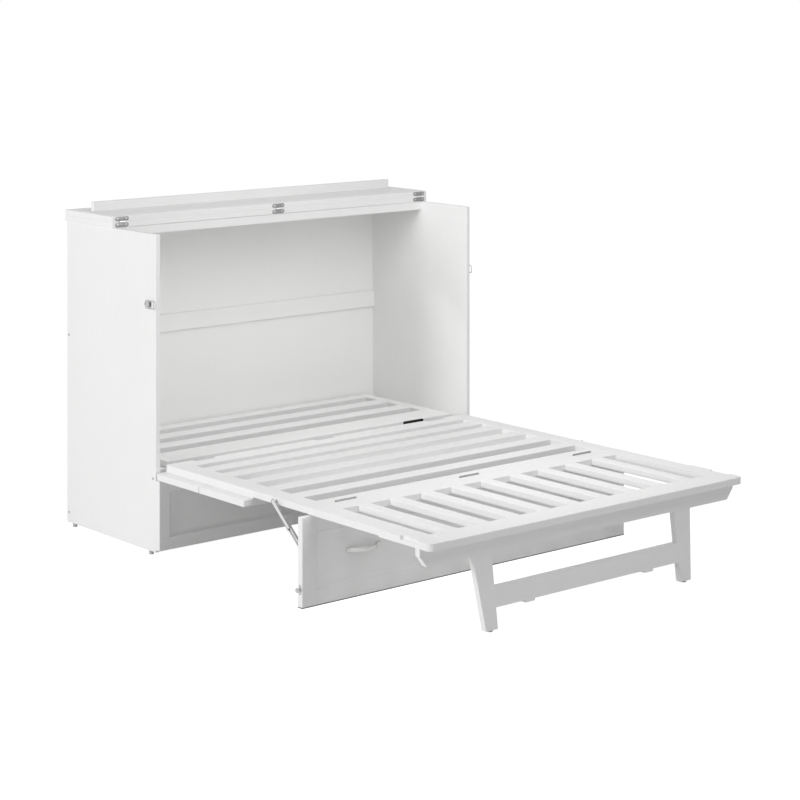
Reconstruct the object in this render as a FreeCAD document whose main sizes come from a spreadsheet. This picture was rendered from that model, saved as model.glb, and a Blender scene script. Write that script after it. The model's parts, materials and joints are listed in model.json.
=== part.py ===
import FreeCAD, Part
import math
import os
import re

# Sizes in millimetres, angles in degrees
SIZES = {
    # cabinet
    "cabinet_width": 1414, "cabinet_depth": 564, "carcass_height": 1080, "side_thickness": 18,
    "back_thickness": 9, "back_rail_thickness": 12, "mid_rail_bottom": 645, "mid_rail_height": 64,
    "bottom_rail_height": 70, "glide_height": 13, "glide_radius": 8, "glide_inset": 40,
    "screw_radius": 5, "screw_height": 2, "screw_drop": 14,
    # top and lid
    "top_thickness": 20, "top_overhang": 7, "top_rear_overhang": 2, "lid_line": 259,
    "lid_rear_clear": 1, "top_rail_height": 31, "top_rail_thickness": 18, "top_rail_setback": 3,
    "batten_setback": 181, "batten_height": 34, "batten_thickness": 16, "batten_clear": 14,
    # framed front boards
    "front_board": 22, "infill_recess": 6, "infill_thickness": 10,
    "lower_panel_bottom": 21, "lower_panel_height": 234, "lower_stile": 43, "lower_rail": 43,
    "support_stile": 58, "support_rail": 52,
    # bearers inside the cabinet
    "stretcher_setback": 6, "stretcher_thickness": 18, "stretcher_height": 70, "stretcher_drop": 10,
    "ledger_thickness": 18, "ledger_height": 44, "cleat_width": 70, "cleat_height": 28,
    # sleeping platform
    "bed_height": 305, "board_thickness": 22, "slat_thickness": 20, "bed_side_clear": 19, "side_rail": 69,
    "head_setback": 30, "head_rear_clear": 15, "head_front_rail": 125, "head_rear_rail": 54,
    "head_side_rail": 40, "head_slot": 67, "bed_setback": 8, "middle_reach": 786, "middle_rear_rail": 73,
    "middle_front_rail": 50, "middle_slot": 65, "middle_rear_slot": 45, "fold_gap": 1, "foot_reach": 1376,
    "foot_rear_rail": 80, "foot_front_rail": 96, "foot_slat": 48, "foot_end_slot": 66.6,
    "cheek_thickness": 9, "cheek_length": 233, "foot_corner": 20,
    "grip_start": 136, "grip_length": 80, "grip_depth": 12, "grip_height": 11,
    # front boards under the middle section
    "facade_gap": 4, "facade_start": 6, "facade_first": 243, "facade_second": 248, "facade_joint": 3,
    "spacer_width": 30, "spacer_inset": 38,
    # foot rail and leg frame
    "foot_rail_setback": 46, "foot_rail_thickness": 20, "foot_rail_height": 57,
    "foot_rail_chamfer_run": 28, "foot_rail_chamfer_rise": 35,
    "leg_inset": 273, "leg_top_width": 75, "leg_bottom_width": 48, "leg_run": 30,
    "leg_rail_bottom": 67, "leg_rail_height": 60, "pad_width": 40, "pad_height": 7, "pad_inset": 139,
    "leg_glide_height": 5, "leg_glide_radius": 8,
    # support panel
    "support_setback": 2, "support_clear": 2.8, "handle_inset": 247, "handle_length": 128, "handle_rise": 30,
    "handle_radius": 5, "handle_height": 151, "pad_radius": 8, "handle_pad": 4,
    "peg_height": 57, "peg_radius": 4, "peg_length": 10, "peg_head_radius": 8, "peg_head": 2.5,
    # hinges
    "lid_hinge_inset": 40, "lid_hinge_width": 54, "lid_leaf_reach": 18,
    "knuckle_radius": 3.2, "pin_radius": 1.6, "hinge_standoff": 3.5, "leaf_thickness": 1.6,
    "hinge_play": 0.05, "hinge_clear": 0.4, "knuckle_gap": 0.5,
    "bed_hinge_inset": 81, "bed_hinge_width": 76, "bed_hinge_notch": 88, "bed_notch_depth": 20,
    "bed_leaf_drop": 64, "bed_leaf_reach": 70, "bed_leaf_inset": 0.3, "bed_leaf_thickness": 2.5,
    "heavy_knuckle_radius": 4, "heavy_pin_radius": 2.5, "bed_axis_drop": 2,
    "fold_hinge_inset": 81, "fold_hinge_width": 80, "fold_hinge_notch": 90, "fold_notch_depth": 4,
    "fold_rise": 0.5, "fold_leaf_drop": 18,
    "support_hinge_inset": 277, "support_hinge_width": 60, "support_leaf_reach": 36,
    "knuckle_notch": 3.8, "leg_hinge_width": 40, "leg_leaf_reach": 34,
    # stays
    "stay_pivot_drop": 111.5, "stay_pivot_standoff": 12, "stay_run": 150, "stay_rise": 126.5,
    "stay_clear": 4, "stay_width": 8, "stay_height": 16, "stay_end": 6, "stay_channel_length": 130,
    "slide_length": 110, "slide_height": 8, "slide_width": 4, "slide_play": 0.5, "slide_groove": 5,
    "slide_eye": 7, "stud_radius": 4, "stud_gap": 0.4, "groove_start": 12,
    "bracket_thickness": 3, "bracket_gap": 1, "bracket_height": 24, "bracket_plate": 1.6,
    "bracket_plate_width": 30, "stay_pin_radius": 3,
    # latches
    "latch_height": 843, "latch_standoff": 8, "lever_pivot": 34, "lever_loop": 50, "lever_front": 30,
    "lever_end": 76, "lever_thickness": 6, "lever_height": 13, "latch_plate": 2, "latch_plate_front": 26,
    "latch_plate_length": 44, "latch_plate_height": 26, "ear_length": 12, "ear_thickness": 2.5,
    "ear_gap": 0.5, "ear_reach": 12, "latch_pin_radius": 1.5, "loop_wire": 1.6, "loop_side_wire": 1.4,
    "loop_height": 26, "loop_front": 0.5,
    # finishing
    "edge_ease": 1.5, "cut_overrun": 1,
}

HEAD_SLATS = 2
MIDDLE_SLATS = 5
MIDDLE_WIDE_SLOTS = 4
FOOT_SLATS = 9

os.makedirs("parts", exist_ok=True)
doc = FreeCAD.newDocument("CabinetBed")
sheet = doc.addObject("Spreadsheet::Sheet", "Sizes")
for row, (alias, number) in enumerate(SIZES.items(), start=1):
    sheet.set(f"A{row}", alias)
    sheet.set(f"B{row}", str(number))
    sheet.setAlias(f"B{row}", alias)
doc.recompute()

SIZE_NAME = re.compile(r"[a-z][a-z_]*")
# Sizes and places that follow from the ones in the sheet
FOLLOWING = {
    "bed_width": "(cabinet_width - 2 * side_thickness - 2 * bed_side_clear)",
    "head_depth": "(cabinet_depth - back_thickness - head_setback - head_rear_clear)",
    "lid_depth": "(cabinet_depth + top_rear_overhang - lid_line - lid_rear_clear)",
    "batten_length": "(cabinet_width - 2 * side_thickness - 2 * batten_clear)",
    "lid_hinge_spread": "(cabinet_width / 2 + top_overhang - lid_hinge_inset)",
    "bed_hinge_spread": "(bed_width / 2 - side_rail - bed_hinge_inset)",
    "fold_hinge_spread": "(bed_width / 2 - side_rail - fold_hinge_inset)",
    "support_hinge_spread": "(cabinet_width / 2 - support_hinge_inset)",
    "handle_spread": "(cabinet_width / 2 - handle_inset)",
    "leg_inner": "(bed_width / 2 - leg_inset)",
    "pad_spread": "(leg_inner - pad_inset)",
    "stay_inner": "(bed_width / 2 + stay_clear)",
}
X_AXIS = FreeCAD.Vector(1, 0, 0)
Y_AXIS = FreeCAD.Vector(0, 1, 0)
Z_AXIS = FreeCAD.Vector(0, 0, 1)
NODES = []

# Reference lines, as formulas in the named sizes; depths count from the cabinet's front plane
FRONT_PLANE = "(foot_reach - cabinet_depth - top_rear_overhang) / 2"
INNER_WIDTH = "(cabinet_width - 2 * side_thickness)"
TOP_WIDTH = "(cabinet_width + 2 * top_overhang)"
TOP_FACE = "(carcass_height + top_thickness)"
UNDERSIDE = "(bed_height - board_thickness)"
CROSS_LENGTH = "(bed_width - 2 * side_rail)"
BED_AXIS = f"({UNDERSIDE} - bed_axis_drop)"
SLAT_BOTTOM = "(bed_height - slat_thickness)"
HEAD_SLAT = (f"((head_depth - head_front_rail - head_rear_rail - {HEAD_SLATS + 1} * head_slot)"
             f" / {HEAD_SLATS})")
MIDDLE_LENGTH = "(middle_reach - bed_setback)"
MIDDLE_SLAT = (f"(({MIDDLE_LENGTH} - middle_rear_rail - middle_front_rail - {MIDDLE_WIDE_SLOTS} * middle_slot"
               f" - {MIDDLE_SLATS + 1 - MIDDLE_WIDE_SLOTS} * middle_rear_slot) / {MIDDLE_SLATS})")
FOOT_START = "(middle_reach + fold_gap)"
FOOT_LENGTH = f"(foot_reach - {FOOT_START})"
FOOT_PITCH = f"(({CROSS_LENGTH} - 2 * foot_end_slot - foot_slat) / {FOOT_SLATS - 1})"
FOOT_SLAT_LENGTH = f"({FOOT_LENGTH} - foot_rear_rail - foot_front_rail)"
FOLD_AXIS_Y = "-(middle_reach + fold_gap / 2)"
FOLD_AXIS_Z = "(bed_height + fold_rise)"
FACADE_TOP = f"({UNDERSIDE} - facade_gap)"
SUPPORT_BACK = "-(middle_reach - support_setback)"
SUPPORT_TOP = f"({UNDERSIDE} - support_clear)"
SUPPORT_AXIS = f"({UNDERSIDE} - hinge_standoff)"
FOOT_RAIL_FRONT = "-(foot_reach - foot_rail_setback)"
FOOT_RAIL_BACK = f"({FOOT_RAIL_FRONT} + foot_rail_thickness)"
LEG_LENGTH = f"({UNDERSIDE} - foot_rail_height)"


def spelled(formula):
    """A formula written out in the sheet's own sizes."""
    def cell(match):
        name = match.group(0)
        return spelled(FOLLOWING[name]) if name in FOLLOWING else f"Sizes.{name}"
    return SIZE_NAME.sub(cell, formula)


def bind(thing, prop, formula):
    """Tie one property to a formula in the named sizes."""
    thing.setExpression(prop, spelled(formula))


def place(thing, corner, own_frame=False):
    """Tie a position; depth counts from the cabinet's front plane unless the piece has its own frame."""
    depth = corner[1] if own_frame else f"{FRONT_PLANE} + ({corner[1]})"
    for axis, formula in zip("xyz", (corner[0], depth, corner[2])):
        bind(thing, f"Placement.Base.{axis}", formula)
    return thing


def box(name, size, corner, own_frame=False):
    """A block by its length, depth and height and its lowest corner."""
    block = doc.addObject("Part::Box", name)
    for prop, formula in zip(("Length", "Width", "Height"), size):
        bind(block, prop, formula)
    return place(block, corner, own_frame)


def board(name, size, corner):
    """A block with all its edges eased."""
    block = box(f"{name}_blank", size, corner)
    eased = doc.addObject("Part::Chamfer", name)
    eased.Base = block
    ease = SIZES["edge_ease"]
    eased.Edges = [(edge, ease, ease) for edge in range(1, 13)]
    return eased


def rod(name, axis, radius, length, start, own_frame=False):
    """A round bar from its start along x, y or z."""
    bar = doc.addObject("Part::Cylinder", name)
    bind(bar, "Radius", radius)
    bind(bar, "Height", length)
    turn = {"x": FreeCAD.Rotation(Y_AXIS, 90), "y": FreeCAD.Rotation(X_AXIS, -90)}
    bar.Placement.Rotation = turn.get(axis, FreeCAD.Rotation())
    return place(bar, start, own_frame)


def fuse(name, pieces):
    """One solid from several."""
    joined = doc.addObject("Part::MultiFuse", name)
    joined.Shapes = pieces
    return joined


def cut(name, base, tools):
    """A piece less one or more others."""
    less = base
    for index, tool in enumerate(tools, start=1):
        last = index == len(tools)
        step = doc.addObject("Part::Cut", name if last else f"{name}_step_{index}")
        step.Base = less
        step.Tool = tool
        less = step
    return less


def node(label, pieces):
    """Name one file of the part, made of one piece or of several alike."""
    whole = pieces[0]
    if len(pieces) > 1:
        whole = doc.addObject("Part::Compound", f"{label}_set")
        whole.Links = pieces
    whole.Label = label
    NODES.append(whole)
    return whole


def side_x(sign, inner, across):
    """Lowest x of a piece that starts a distance out from the middle plane on one side."""
    return inner if sign > 0 else f"-({inner}) - ({across})"


def lean_slab(name, x_span, top_span, rise, depths, base_z):
    """A slab with flat top and bottom whose depth and width change evenly with height."""
    slab = doc.addObject("Part::Wedge", name)
    slab.Placement.Rotation = FreeCAD.Rotation(X_AXIS, 90)
    (low_back, low_front), (high_back, high_front) = depths
    limits = {"Xmin": x_span[0], "Xmax": x_span[1], "X2min": top_span[0], "X2max": top_span[1],
              "Ymin": "0", "Ymax": rise,
              "Zmin": f"-({low_back})", "Zmax": f"-({low_front})",
              "Z2min": f"-({high_back})", "Z2max": f"-({high_front})"}
    for prop, formula in limits.items():
        bind(slab, prop, formula)
    return place(slab, ("0", "0", base_z))


SIDES = (("left", -1), ("right", 1))

# Carcass
for side, sign in SIDES:
    x = side_x(sign, "cabinet_width / 2 - side_thickness", "side_thickness")
    panel = board(f"{side}_side", ("side_thickness", "cabinet_depth", "carcass_height - glide_height"),
                  (x, "0", "glide_height"))
    node(f"{side}_side_panel", [panel])

BACK_FACE = "(cabinet_depth - back_thickness)"
BACK_JOINT = "(mid_rail_bottom + mid_rail_height / 2)"
node("back_panels", [
    box("lower_back", (INNER_WIDTH, "back_thickness", f"{BACK_JOINT} - glide_height"),
        (f"-{INNER_WIDTH} / 2", BACK_FACE, "glide_height")),
    box("upper_back", (INNER_WIDTH, "back_thickness", f"carcass_height - {BACK_JOINT}"),
        (f"-{INNER_WIDTH} / 2", BACK_FACE, BACK_JOINT)),
])
node("back_rails", [
    board("mid_rail", (INNER_WIDTH, "back_rail_thickness", "mid_rail_height"),
          (f"-{INNER_WIDTH} / 2", f"{BACK_FACE} - back_rail_thickness", "mid_rail_bottom")),
    board("bottom_rail", (INNER_WIDTH, "back_rail_thickness", "bottom_rail_height"),
          (f"-{INNER_WIDTH} / 2", f"{BACK_FACE} - back_rail_thickness", "glide_height")),
])
node("fixed_top", [
    board("rear_top", (TOP_WIDTH, "cabinet_depth + top_rear_overhang - lid_line", "top_thickness"),
          (f"-{TOP_WIDTH} / 2", "lid_line", "carcass_height")),
])
node("top_front_rail", [
    board("top_rail", (INNER_WIDTH, "top_rail_thickness", "top_rail_height"),
          (f"-{INNER_WIDTH} / 2", "lid_line + top_rail_setback", "carcass_height - top_rail_height")),
])
node("platform_bearers", [
    board("stretcher", (INNER_WIDTH, "stretcher_thickness", "stretcher_height"),
          (f"-{INNER_WIDTH} / 2", "stretcher_setback", f"{UNDERSIDE} - stretcher_drop - stretcher_height")),
    board("ledger", (INNER_WIDTH, "ledger_thickness", "ledger_height"),
          (f"-{INNER_WIDTH} / 2", "head_setback", f"{UNDERSIDE} - ledger_height")),
] + [
    board(f"{side}_cleat", ("cleat_width", "head_depth - ledger_thickness", "cleat_height"),
          (side_x(sign, f"{INNER_WIDTH} / 2 - cleat_width", "cleat_width"),
           "head_setback + ledger_thickness", f"{UNDERSIDE} - cleat_height"))
    for side, sign in SIDES
])
node("cabinet_glides", [
    rod(f"{side}_{end}_glide", "z", "glide_radius", "glide_height",
        (f"{sign} * (cabinet_width - side_thickness) / 2", depth, "0"))
    for side, sign in SIDES
    for end, depth in (("front", "glide_inset"), ("rear", "cabinet_depth - glide_inset"))
])
SCREWS = (
    ("mid", f"{BACK_FACE} - back_rail_thickness / 2", "mid_rail_bottom + mid_rail_height / 2"),
    ("bottom", f"{BACK_FACE} - back_rail_thickness / 2", "glide_height + bottom_rail_height / 2"),
    ("stretcher", "stretcher_setback + stretcher_thickness / 2",
     f"{UNDERSIDE} - stretcher_drop - screw_drop"),
)
node("carcass_screws", [
    rod(f"{side}_{spot}_screw", "x", "screw_radius", "screw_height",
        (side_x(sign, "cabinet_width / 2", "screw_height"), depth, height))
    for side, sign in SIDES
    for spot, depth, height in SCREWS
])


def framed_boards(name, flat, length, tall, stile, rail, depth, height):
    """Stiles, rails and recessed infill of a framed front board, upright or lying face down."""
    def piece(part, make, span, thick, rise, start, inward, up):
        if flat:
            return make(f"{name}_{part}", (span, rise, thick),
                        (start, f"{depth} + {up}", f"{height} + {inward}"))
        return make(f"{name}_{part}", (span, thick, rise), (start, f"{depth} + {inward}", f"{height} + {up}"))

    between = f"({length} - 2 * {stile})"
    stiles = [piece(f"{side}_stile", board, stile, "front_board", tall,
                    side_x(sign, f"{length} / 2 - {stile}", stile), "0", "0") for side, sign in SIDES]
    rails = [piece(f"{end}_rail", board, between, "front_board", rail, f"-{between} / 2", "0", up)
             for end, up in (("low", "0"), ("high", f"{tall} - {rail}"))]
    infill = piece("infill", box, between, "infill_thickness", f"{tall} - 2 * {rail}",
                   f"-{between} / 2", "infill_recess", rail)
    return stiles, rails, infill


stiles, rails, infill = framed_boards("lower_front", False, "cabinet_width", "lower_panel_height",
                                      "lower_stile", "lower_rail", "-front_board", "lower_panel_bottom")
node("lower_front_frame", stiles + rails)
node("lower_front_infill", [infill])

# Head section of the platform
node("head_rails", [
    board(f"head_{side}_rail", ("head_side_rail", "head_depth", "board_thickness"),
          (side_x(sign, f"{CROSS_LENGTH} / 2", "head_side_rail"), "head_setback", UNDERSIDE))
    for side, sign in SIDES
] + [
    board("head_front_board", (CROSS_LENGTH, "head_front_rail", "board_thickness"),
          (f"-{CROSS_LENGTH} / 2", "head_setback", UNDERSIDE)),
    board("head_rear_board", (CROSS_LENGTH, "head_rear_rail", "board_thickness"),
          (f"-{CROSS_LENGTH} / 2", "head_setback + head_depth - head_rear_rail", UNDERSIDE)),
])
node("head_slats", [
    board(f"head_slat_{index}", (CROSS_LENGTH, HEAD_SLAT, "slat_thickness"),
          (f"-{CROSS_LENGTH} / 2",
           f"head_setback + head_front_rail + head_slot + {index} * (head_slot + {HEAD_SLAT})", SLAT_BOTTOM))
    for index in range(HEAD_SLATS)
])

# Lid
node("lid_board", [
    board("lid_blank", (TOP_WIDTH, "lid_depth", "top_thickness"),
          (f"-{TOP_WIDTH} / 2", "lid_line", TOP_FACE)),
])
node("lid_batten", [
    board("batten", ("batten_length", "batten_thickness", "batten_height"),
          ("-batten_length / 2", "lid_line + batten_setback", f"{TOP_FACE} + top_thickness")),
])

# Middle section
HINGE_SPOTS = (("left", -1), ("middle", 0), ("right", 1))
node("middle_side_rails", [
    board(f"middle_{side}_rail", ("side_rail", MIDDLE_LENGTH, "board_thickness"),
          (side_x(sign, f"{CROSS_LENGTH} / 2", "side_rail"), "-middle_reach", UNDERSIDE))
    for side, sign in SIDES
])
rear_board = board("middle_rear_board", (CROSS_LENGTH, "middle_rear_rail", "board_thickness"),
                   (f"-{CROSS_LENGTH} / 2", "-bed_setback - middle_rear_rail", UNDERSIDE))
notches = [
    box(f"bed_notch_{spot}", ("bed_hinge_notch", "bed_notch_depth + cut_overrun",
                              "board_thickness + 2 * cut_overrun"),
        (f"{sign} * bed_hinge_spread - bed_hinge_notch / 2", "-bed_setback - bed_notch_depth",
         f"{UNDERSIDE} - cut_overrun"))
    for spot, sign in HINGE_SPOTS
]
node("middle_rear_rail", [cut("middle_rear_notched", rear_board, notches)])
front_board = board("middle_front_board", (CROSS_LENGTH, "middle_front_rail", "board_thickness"),
                    (f"-{CROSS_LENGTH} / 2", "-middle_reach", UNDERSIDE))
notches = [
    box(f"fold_notch_{spot}", ("fold_hinge_notch", "fold_notch_depth + cut_overrun",
                               "board_thickness + 2 * cut_overrun"),
        (f"{sign} * fold_hinge_spread - fold_hinge_notch / 2", "-middle_reach - cut_overrun",
         f"{UNDERSIDE} - cut_overrun"))
    for spot, sign in HINGE_SPOTS
]
node("middle_front_rail", [cut("middle_front_notched", front_board, notches)])
middle_slats = []
for index in range(MIDDLE_SLATS):
    wide = min(index + 1, MIDDLE_WIDE_SLOTS)
    slots = f"{wide} * middle_slot + {index + 1 - wide} * middle_rear_slot"
    middle_slats.append(
        board(f"middle_slat_{index}", (CROSS_LENGTH, MIDDLE_SLAT, "slat_thickness"),
              (f"-{CROSS_LENGTH} / 2",
               f"-middle_reach + middle_front_rail + {slots} + {index} * {MIDDLE_SLAT}", SLAT_BOTTOM)))
node("middle_slats", middle_slats)
FACADES = (("first", "facade_first", "-(facade_start + facade_first)"),
           ("second", "facade_second", "-(facade_start + facade_first + facade_joint + facade_second)"))
facade_frames = []
facade_infills = []
for tier, tall, depth in FACADES:
    stiles, rails, infill = framed_boards(f"facade_{tier}", True, "cabinet_width", tall, "lower_stile",
                                          "lower_rail", depth, f"{FACADE_TOP} - front_board")
    facade_frames += stiles + rails
    facade_infills.append(infill)
node("facade_frames", facade_frames)
node("facade_infills", facade_infills)
node("facade_spacers", [
    box(f"{side}_facade_spacer",
        ("spacer_width", "facade_first + facade_joint + facade_second", "facade_gap"),
        (side_x(sign, f"{CROSS_LENGTH} / 2 + spacer_inset", "spacer_width"), FACADES[1][2], FACADE_TOP))
    for side, sign in SIDES
])

# Foot section
foot_side_boards = []
for side, sign in SIDES:
    plank = box(f"foot_{side}_plank", ("side_rail", FOOT_LENGTH, "board_thickness"),
                (side_x(sign, f"{CROSS_LENGTH} / 2", "side_rail"), "-foot_reach", UNDERSIDE))
    cheek = box(f"foot_{side}_cheek", ("cheek_thickness", "cheek_length", "board_thickness"),
                (side_x(sign, "bed_width / 2", "cheek_thickness"), "-foot_reach", UNDERSIDE))
    corner_block = box(f"foot_{side}_corner_block", ("foot_corner + cut_overrun", "foot_corner + cut_overrun",
                                                     "board_thickness + 2 * cut_overrun"),
                       (side_x(sign, "bed_width / 2 + cheek_thickness - foot_corner",
                               "foot_corner + cut_overrun"),
                        "-foot_reach - cut_overrun", f"{UNDERSIDE} - cut_overrun"))
    corner_round = rod(f"foot_{side}_corner_round", "z", "foot_corner", "board_thickness + 2 * cut_overrun",
                       (f"{sign} * (bed_width / 2 + cheek_thickness - foot_corner)",
                        "-foot_reach + foot_corner", f"{UNDERSIDE} - cut_overrun"))
    corner = cut(f"foot_{side}_corner", corner_block, [corner_round])
    grip = box(f"foot_{side}_grip", ("grip_depth + cut_overrun", "grip_length", "grip_height + cut_overrun"),
               (side_x(sign, "bed_width / 2 + cheek_thickness - grip_depth", "grip_depth + cut_overrun"),
                "-foot_reach + grip_start - grip_length", "bed_height - grip_height"))
    outline = fuse(f"foot_{side}_outline", [plank, cheek])
    foot_side_boards.append(cut(f"foot_{side}_rail", outline, [corner, grip]))
node("foot_side_rails", foot_side_boards)
rear_board = board("foot_rear_board", (CROSS_LENGTH, "foot_rear_rail", "board_thickness"),
                   (f"-{CROSS_LENGTH} / 2", f"-{FOOT_START} - foot_rear_rail", UNDERSIDE))
notches = [
    box(f"foot_notch_{spot}", ("fold_hinge_notch", "fold_notch_depth + cut_overrun",
                               "board_thickness + 2 * cut_overrun"),
        (f"{sign} * fold_hinge_spread - fold_hinge_notch / 2", f"-{FOOT_START} - fold_notch_depth",
         f"{UNDERSIDE} - cut_overrun"))
    for spot, sign in HINGE_SPOTS
]
node("foot_rear_rail", [cut("foot_rear_notched", rear_board, notches)])
node("foot_front_rail", [
    board("foot_front_board", (CROSS_LENGTH, "foot_front_rail", "board_thickness"),
          (f"-{CROSS_LENGTH} / 2", "-foot_reach", UNDERSIDE)),
])
node("foot_slats", [
    board(f"foot_slat_{index}", ("foot_slat", FOOT_SLAT_LENGTH, "slat_thickness"),
          (f"-{CROSS_LENGTH} / 2 + foot_end_slot + {index} * {FOOT_PITCH}",
           "-foot_reach + foot_front_rail", SLAT_BOTTOM))
    for index in range(FOOT_SLATS)
])
RAIL_HALF = "(bed_width / 2 + cheek_thickness)"
RAIL_DEPTHS = ((FOOT_RAIL_BACK, FOOT_RAIL_FRONT), (FOOT_RAIL_BACK, FOOT_RAIL_FRONT))
lower_rail_part = lean_slab("foot_rail_lower", (f"-({RAIL_HALF} - foot_rail_chamfer_run)",
                                                f"{RAIL_HALF} - foot_rail_chamfer_run"),
                            (f"-{RAIL_HALF}", RAIL_HALF), "foot_rail_chamfer_rise", RAIL_DEPTHS, LEG_LENGTH)
upper_rail_part = box("foot_rail_upper", (f"2 * {RAIL_HALF}", "foot_rail_thickness",
                                          "foot_rail_height - foot_rail_chamfer_rise"),
                      (f"-{RAIL_HALF}", FOOT_RAIL_FRONT, f"{LEG_LENGTH} + foot_rail_chamfer_rise"))
node("foot_rail", [fuse("foot_rail_outline", [lower_rail_part, upper_rail_part])])

# Leg frame
def leg_depths(low, high):
    """Back and front depth of the leaning frame at two heights."""
    spans = []
    for height in (low, high):
        run = f"leg_run * (1 - ({height}) / {LEG_LENGTH})"
        spans.append((f"{FOOT_RAIL_BACK} - {run}", f"{FOOT_RAIL_FRONT} - {run}"))
    return tuple(spans)


legs = []
for side, sign in SIDES:
    widths = []
    for width in ("leg_bottom_width", "leg_top_width"):
        start = side_x(sign, "leg_inner", width)
        widths.append((start, f"{start} + {width}"))
    legs.append(lean_slab(f"{side}_leg", widths[0], widths[1], f"{LEG_LENGTH} - leg_glide_height",
                          leg_depths("leg_glide_height", LEG_LENGTH), "leg_glide_height"))
node("legs", legs)
GLIDE_DEPTH = f"{FOOT_RAIL_BACK} - foot_rail_thickness / 2 - leg_run"
node("leg_glides", [
    rod(f"{side}_leg_glide", "z", "leg_glide_radius", "leg_glide_height",
        (f"{sign} * (leg_inner + leg_bottom_width / 2)", GLIDE_DEPTH, "0"))
    for side, sign in SIDES
])
RAIL_TOP = "(leg_rail_bottom + leg_rail_height)"
node("leg_cross_rail", [
    lean_slab("leg_rail_blank", ("-leg_inner", "leg_inner"), ("-leg_inner", "leg_inner"), "leg_rail_height",
              leg_depths("leg_rail_bottom", RAIL_TOP), "leg_rail_bottom"),
])
rest_pads = []
for side, sign in SIDES:
    span = (f"{sign} * pad_spread - pad_width / 2", f"{sign} * pad_spread + pad_width / 2")
    depths = leg_depths("leg_rail_bottom - pad_height", "leg_rail_bottom")
    rest_pads.append(lean_slab(f"{side}_rest_pad", span, span, "pad_height", depths,
                               "leg_rail_bottom - pad_height"))
node("leg_rest_pads", rest_pads)

# Support panel
SUPPORT_FRONT = f"({SUPPORT_BACK} - front_board)"
stiles, rails, infill = framed_boards("support", False, "cabinet_width", SUPPORT_TOP, "support_stile",
                                      "support_rail", SUPPORT_FRONT, "0")
notches = [
    box(f"support_notch_{spot}", ("support_hinge_width + 2 * knuckle_gap", "knuckle_notch + cut_overrun",
                                  "knuckle_notch + hinge_standoff + cut_overrun"),
        (f"{sign} * support_hinge_spread - support_hinge_width / 2 - knuckle_gap",
         f"{SUPPORT_BACK} - knuckle_notch", f"{SUPPORT_AXIS} - knuckle_notch"))
    for spot, sign in HINGE_SPOTS
]
node("support_frame", stiles + rails[:1])
node("support_top_rail", [cut("support_high_notched", rails[1], notches)])
node("support_infill", [infill])

HANDLE_BOW = "((handle_length * handle_length / 4 + handle_rise * handle_rise) / (2 * handle_rise))"
HANDLE_FACE = f"({SUPPORT_FRONT} + infill_recess)"
half_length = SIZES["handle_length"] / 2
bow_radius = (half_length ** 2 + SIZES["handle_rise"] ** 2) / (2 * SIZES["handle_rise"])
bow_angle = 2 * math.degrees(math.asin(half_length / bow_radius))
handles = []
for side, sign in SIDES:
    middle = f"{sign} * handle_spread"
    bow = doc.addObject("Part::Torus", f"{side}_handle_bow")
    bind(bow, "Radius1", HANDLE_BOW)
    bind(bow, "Radius2", "handle_radius")
    bow.Angle3 = bow_angle
    bow.Placement.Rotation = FreeCAD.Rotation(Z_AXIS, -90 - bow_angle / 2)
    place(bow, (middle, f"{HANDLE_FACE} - handle_rise + {HANDLE_BOW}", "handle_height"))
    feet = [
        rod(f"{side}_handle_{end}_foot", "y", "pad_radius", "handle_pad",
            (f"{middle} + {way} * handle_length / 2", f"{HANDLE_FACE} - handle_pad", "handle_height"))
        for end, way in (("low", -1), ("high", 1))
    ]
    behind = box(f"{side}_handle_behind", ("2 * handle_length", "handle_rise", "2 * handle_rise"),
                 (f"{middle} - handle_length", HANDLE_FACE, "handle_height - handle_rise"))
    handles.append(cut(f"{side}_handle", fuse(f"{side}_handle_pull", [bow] + feet), [behind]))
node("support_handles", handles)
pegs = []
for side, sign in SIDES:
    shank = rod(f"{side}_peg_shank", "x", "peg_radius", "peg_length",
                (side_x(sign, "cabinet_width / 2", "peg_length"), f"{SUPPORT_BACK} - front_board / 2",
                 "peg_height"))
    head = rod(f"{side}_peg_head", "x", "peg_head_radius", "peg_head",
               (side_x(sign, "cabinet_width / 2 + peg_length", "peg_head"),
                f"{SUPPORT_BACK} - front_board / 2", "peg_height"))
    pegs.append(fuse(f"{side}_peg", [shank, head]))
node("latch_pegs", pegs)


# Hinges
def hinge_leaf(name, middle, width, plate, tab, own_middle, axis, radius, pin):
    """A leaf plate with its own knuckles round the pin: the middle third, or the two outer thirds."""
    spans = [(f"-{width} / 6", f"{width} / 3")]
    if not own_middle:
        short = f"{width} / 3 - knuckle_gap"
        spans = [(f"-{width} / 2", short), (f"{width} / 6 + knuckle_gap", short)]
    depth, height, deep, tall = tab
    pieces = [plate]
    for index, (start, length) in enumerate(spans):
        pieces.append(box(f"{name}_tab_{index}", (length, deep, tall),
                          (f"{middle} + {start}", depth, height)))
        pieces.append(rod(f"{name}_knuckle_{index}", "x", radius, length, (f"{middle} + {start}",) + axis))
    bore = rod(f"{name}_bore", "x", f"{pin} + hinge_play", f"{width} + 2 * cut_overrun",
               (f"{middle} - {width} / 2 - cut_overrun",) + axis)
    return cut(name, fuse(f"{name}_outline", pieces), [bore])


def plain_leaves(name, spots, spread, width, plate, tab, own_middle, axis, radius, pin):
    """The same flat leaf at each place along the hinge line."""
    leaves = []
    depth, height, deep, tall = plate
    for spot, sign in spots:
        middle = f"{sign} * {spread}"
        flat = box(f"{name}_{spot}_plate", (width, deep, tall), (f"{middle} - {width} / 2", depth, height))
        leaves.append(hinge_leaf(f"{name}_{spot}", middle, width, flat, tab, own_middle, axis, radius, pin))
    node(name, leaves)


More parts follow.
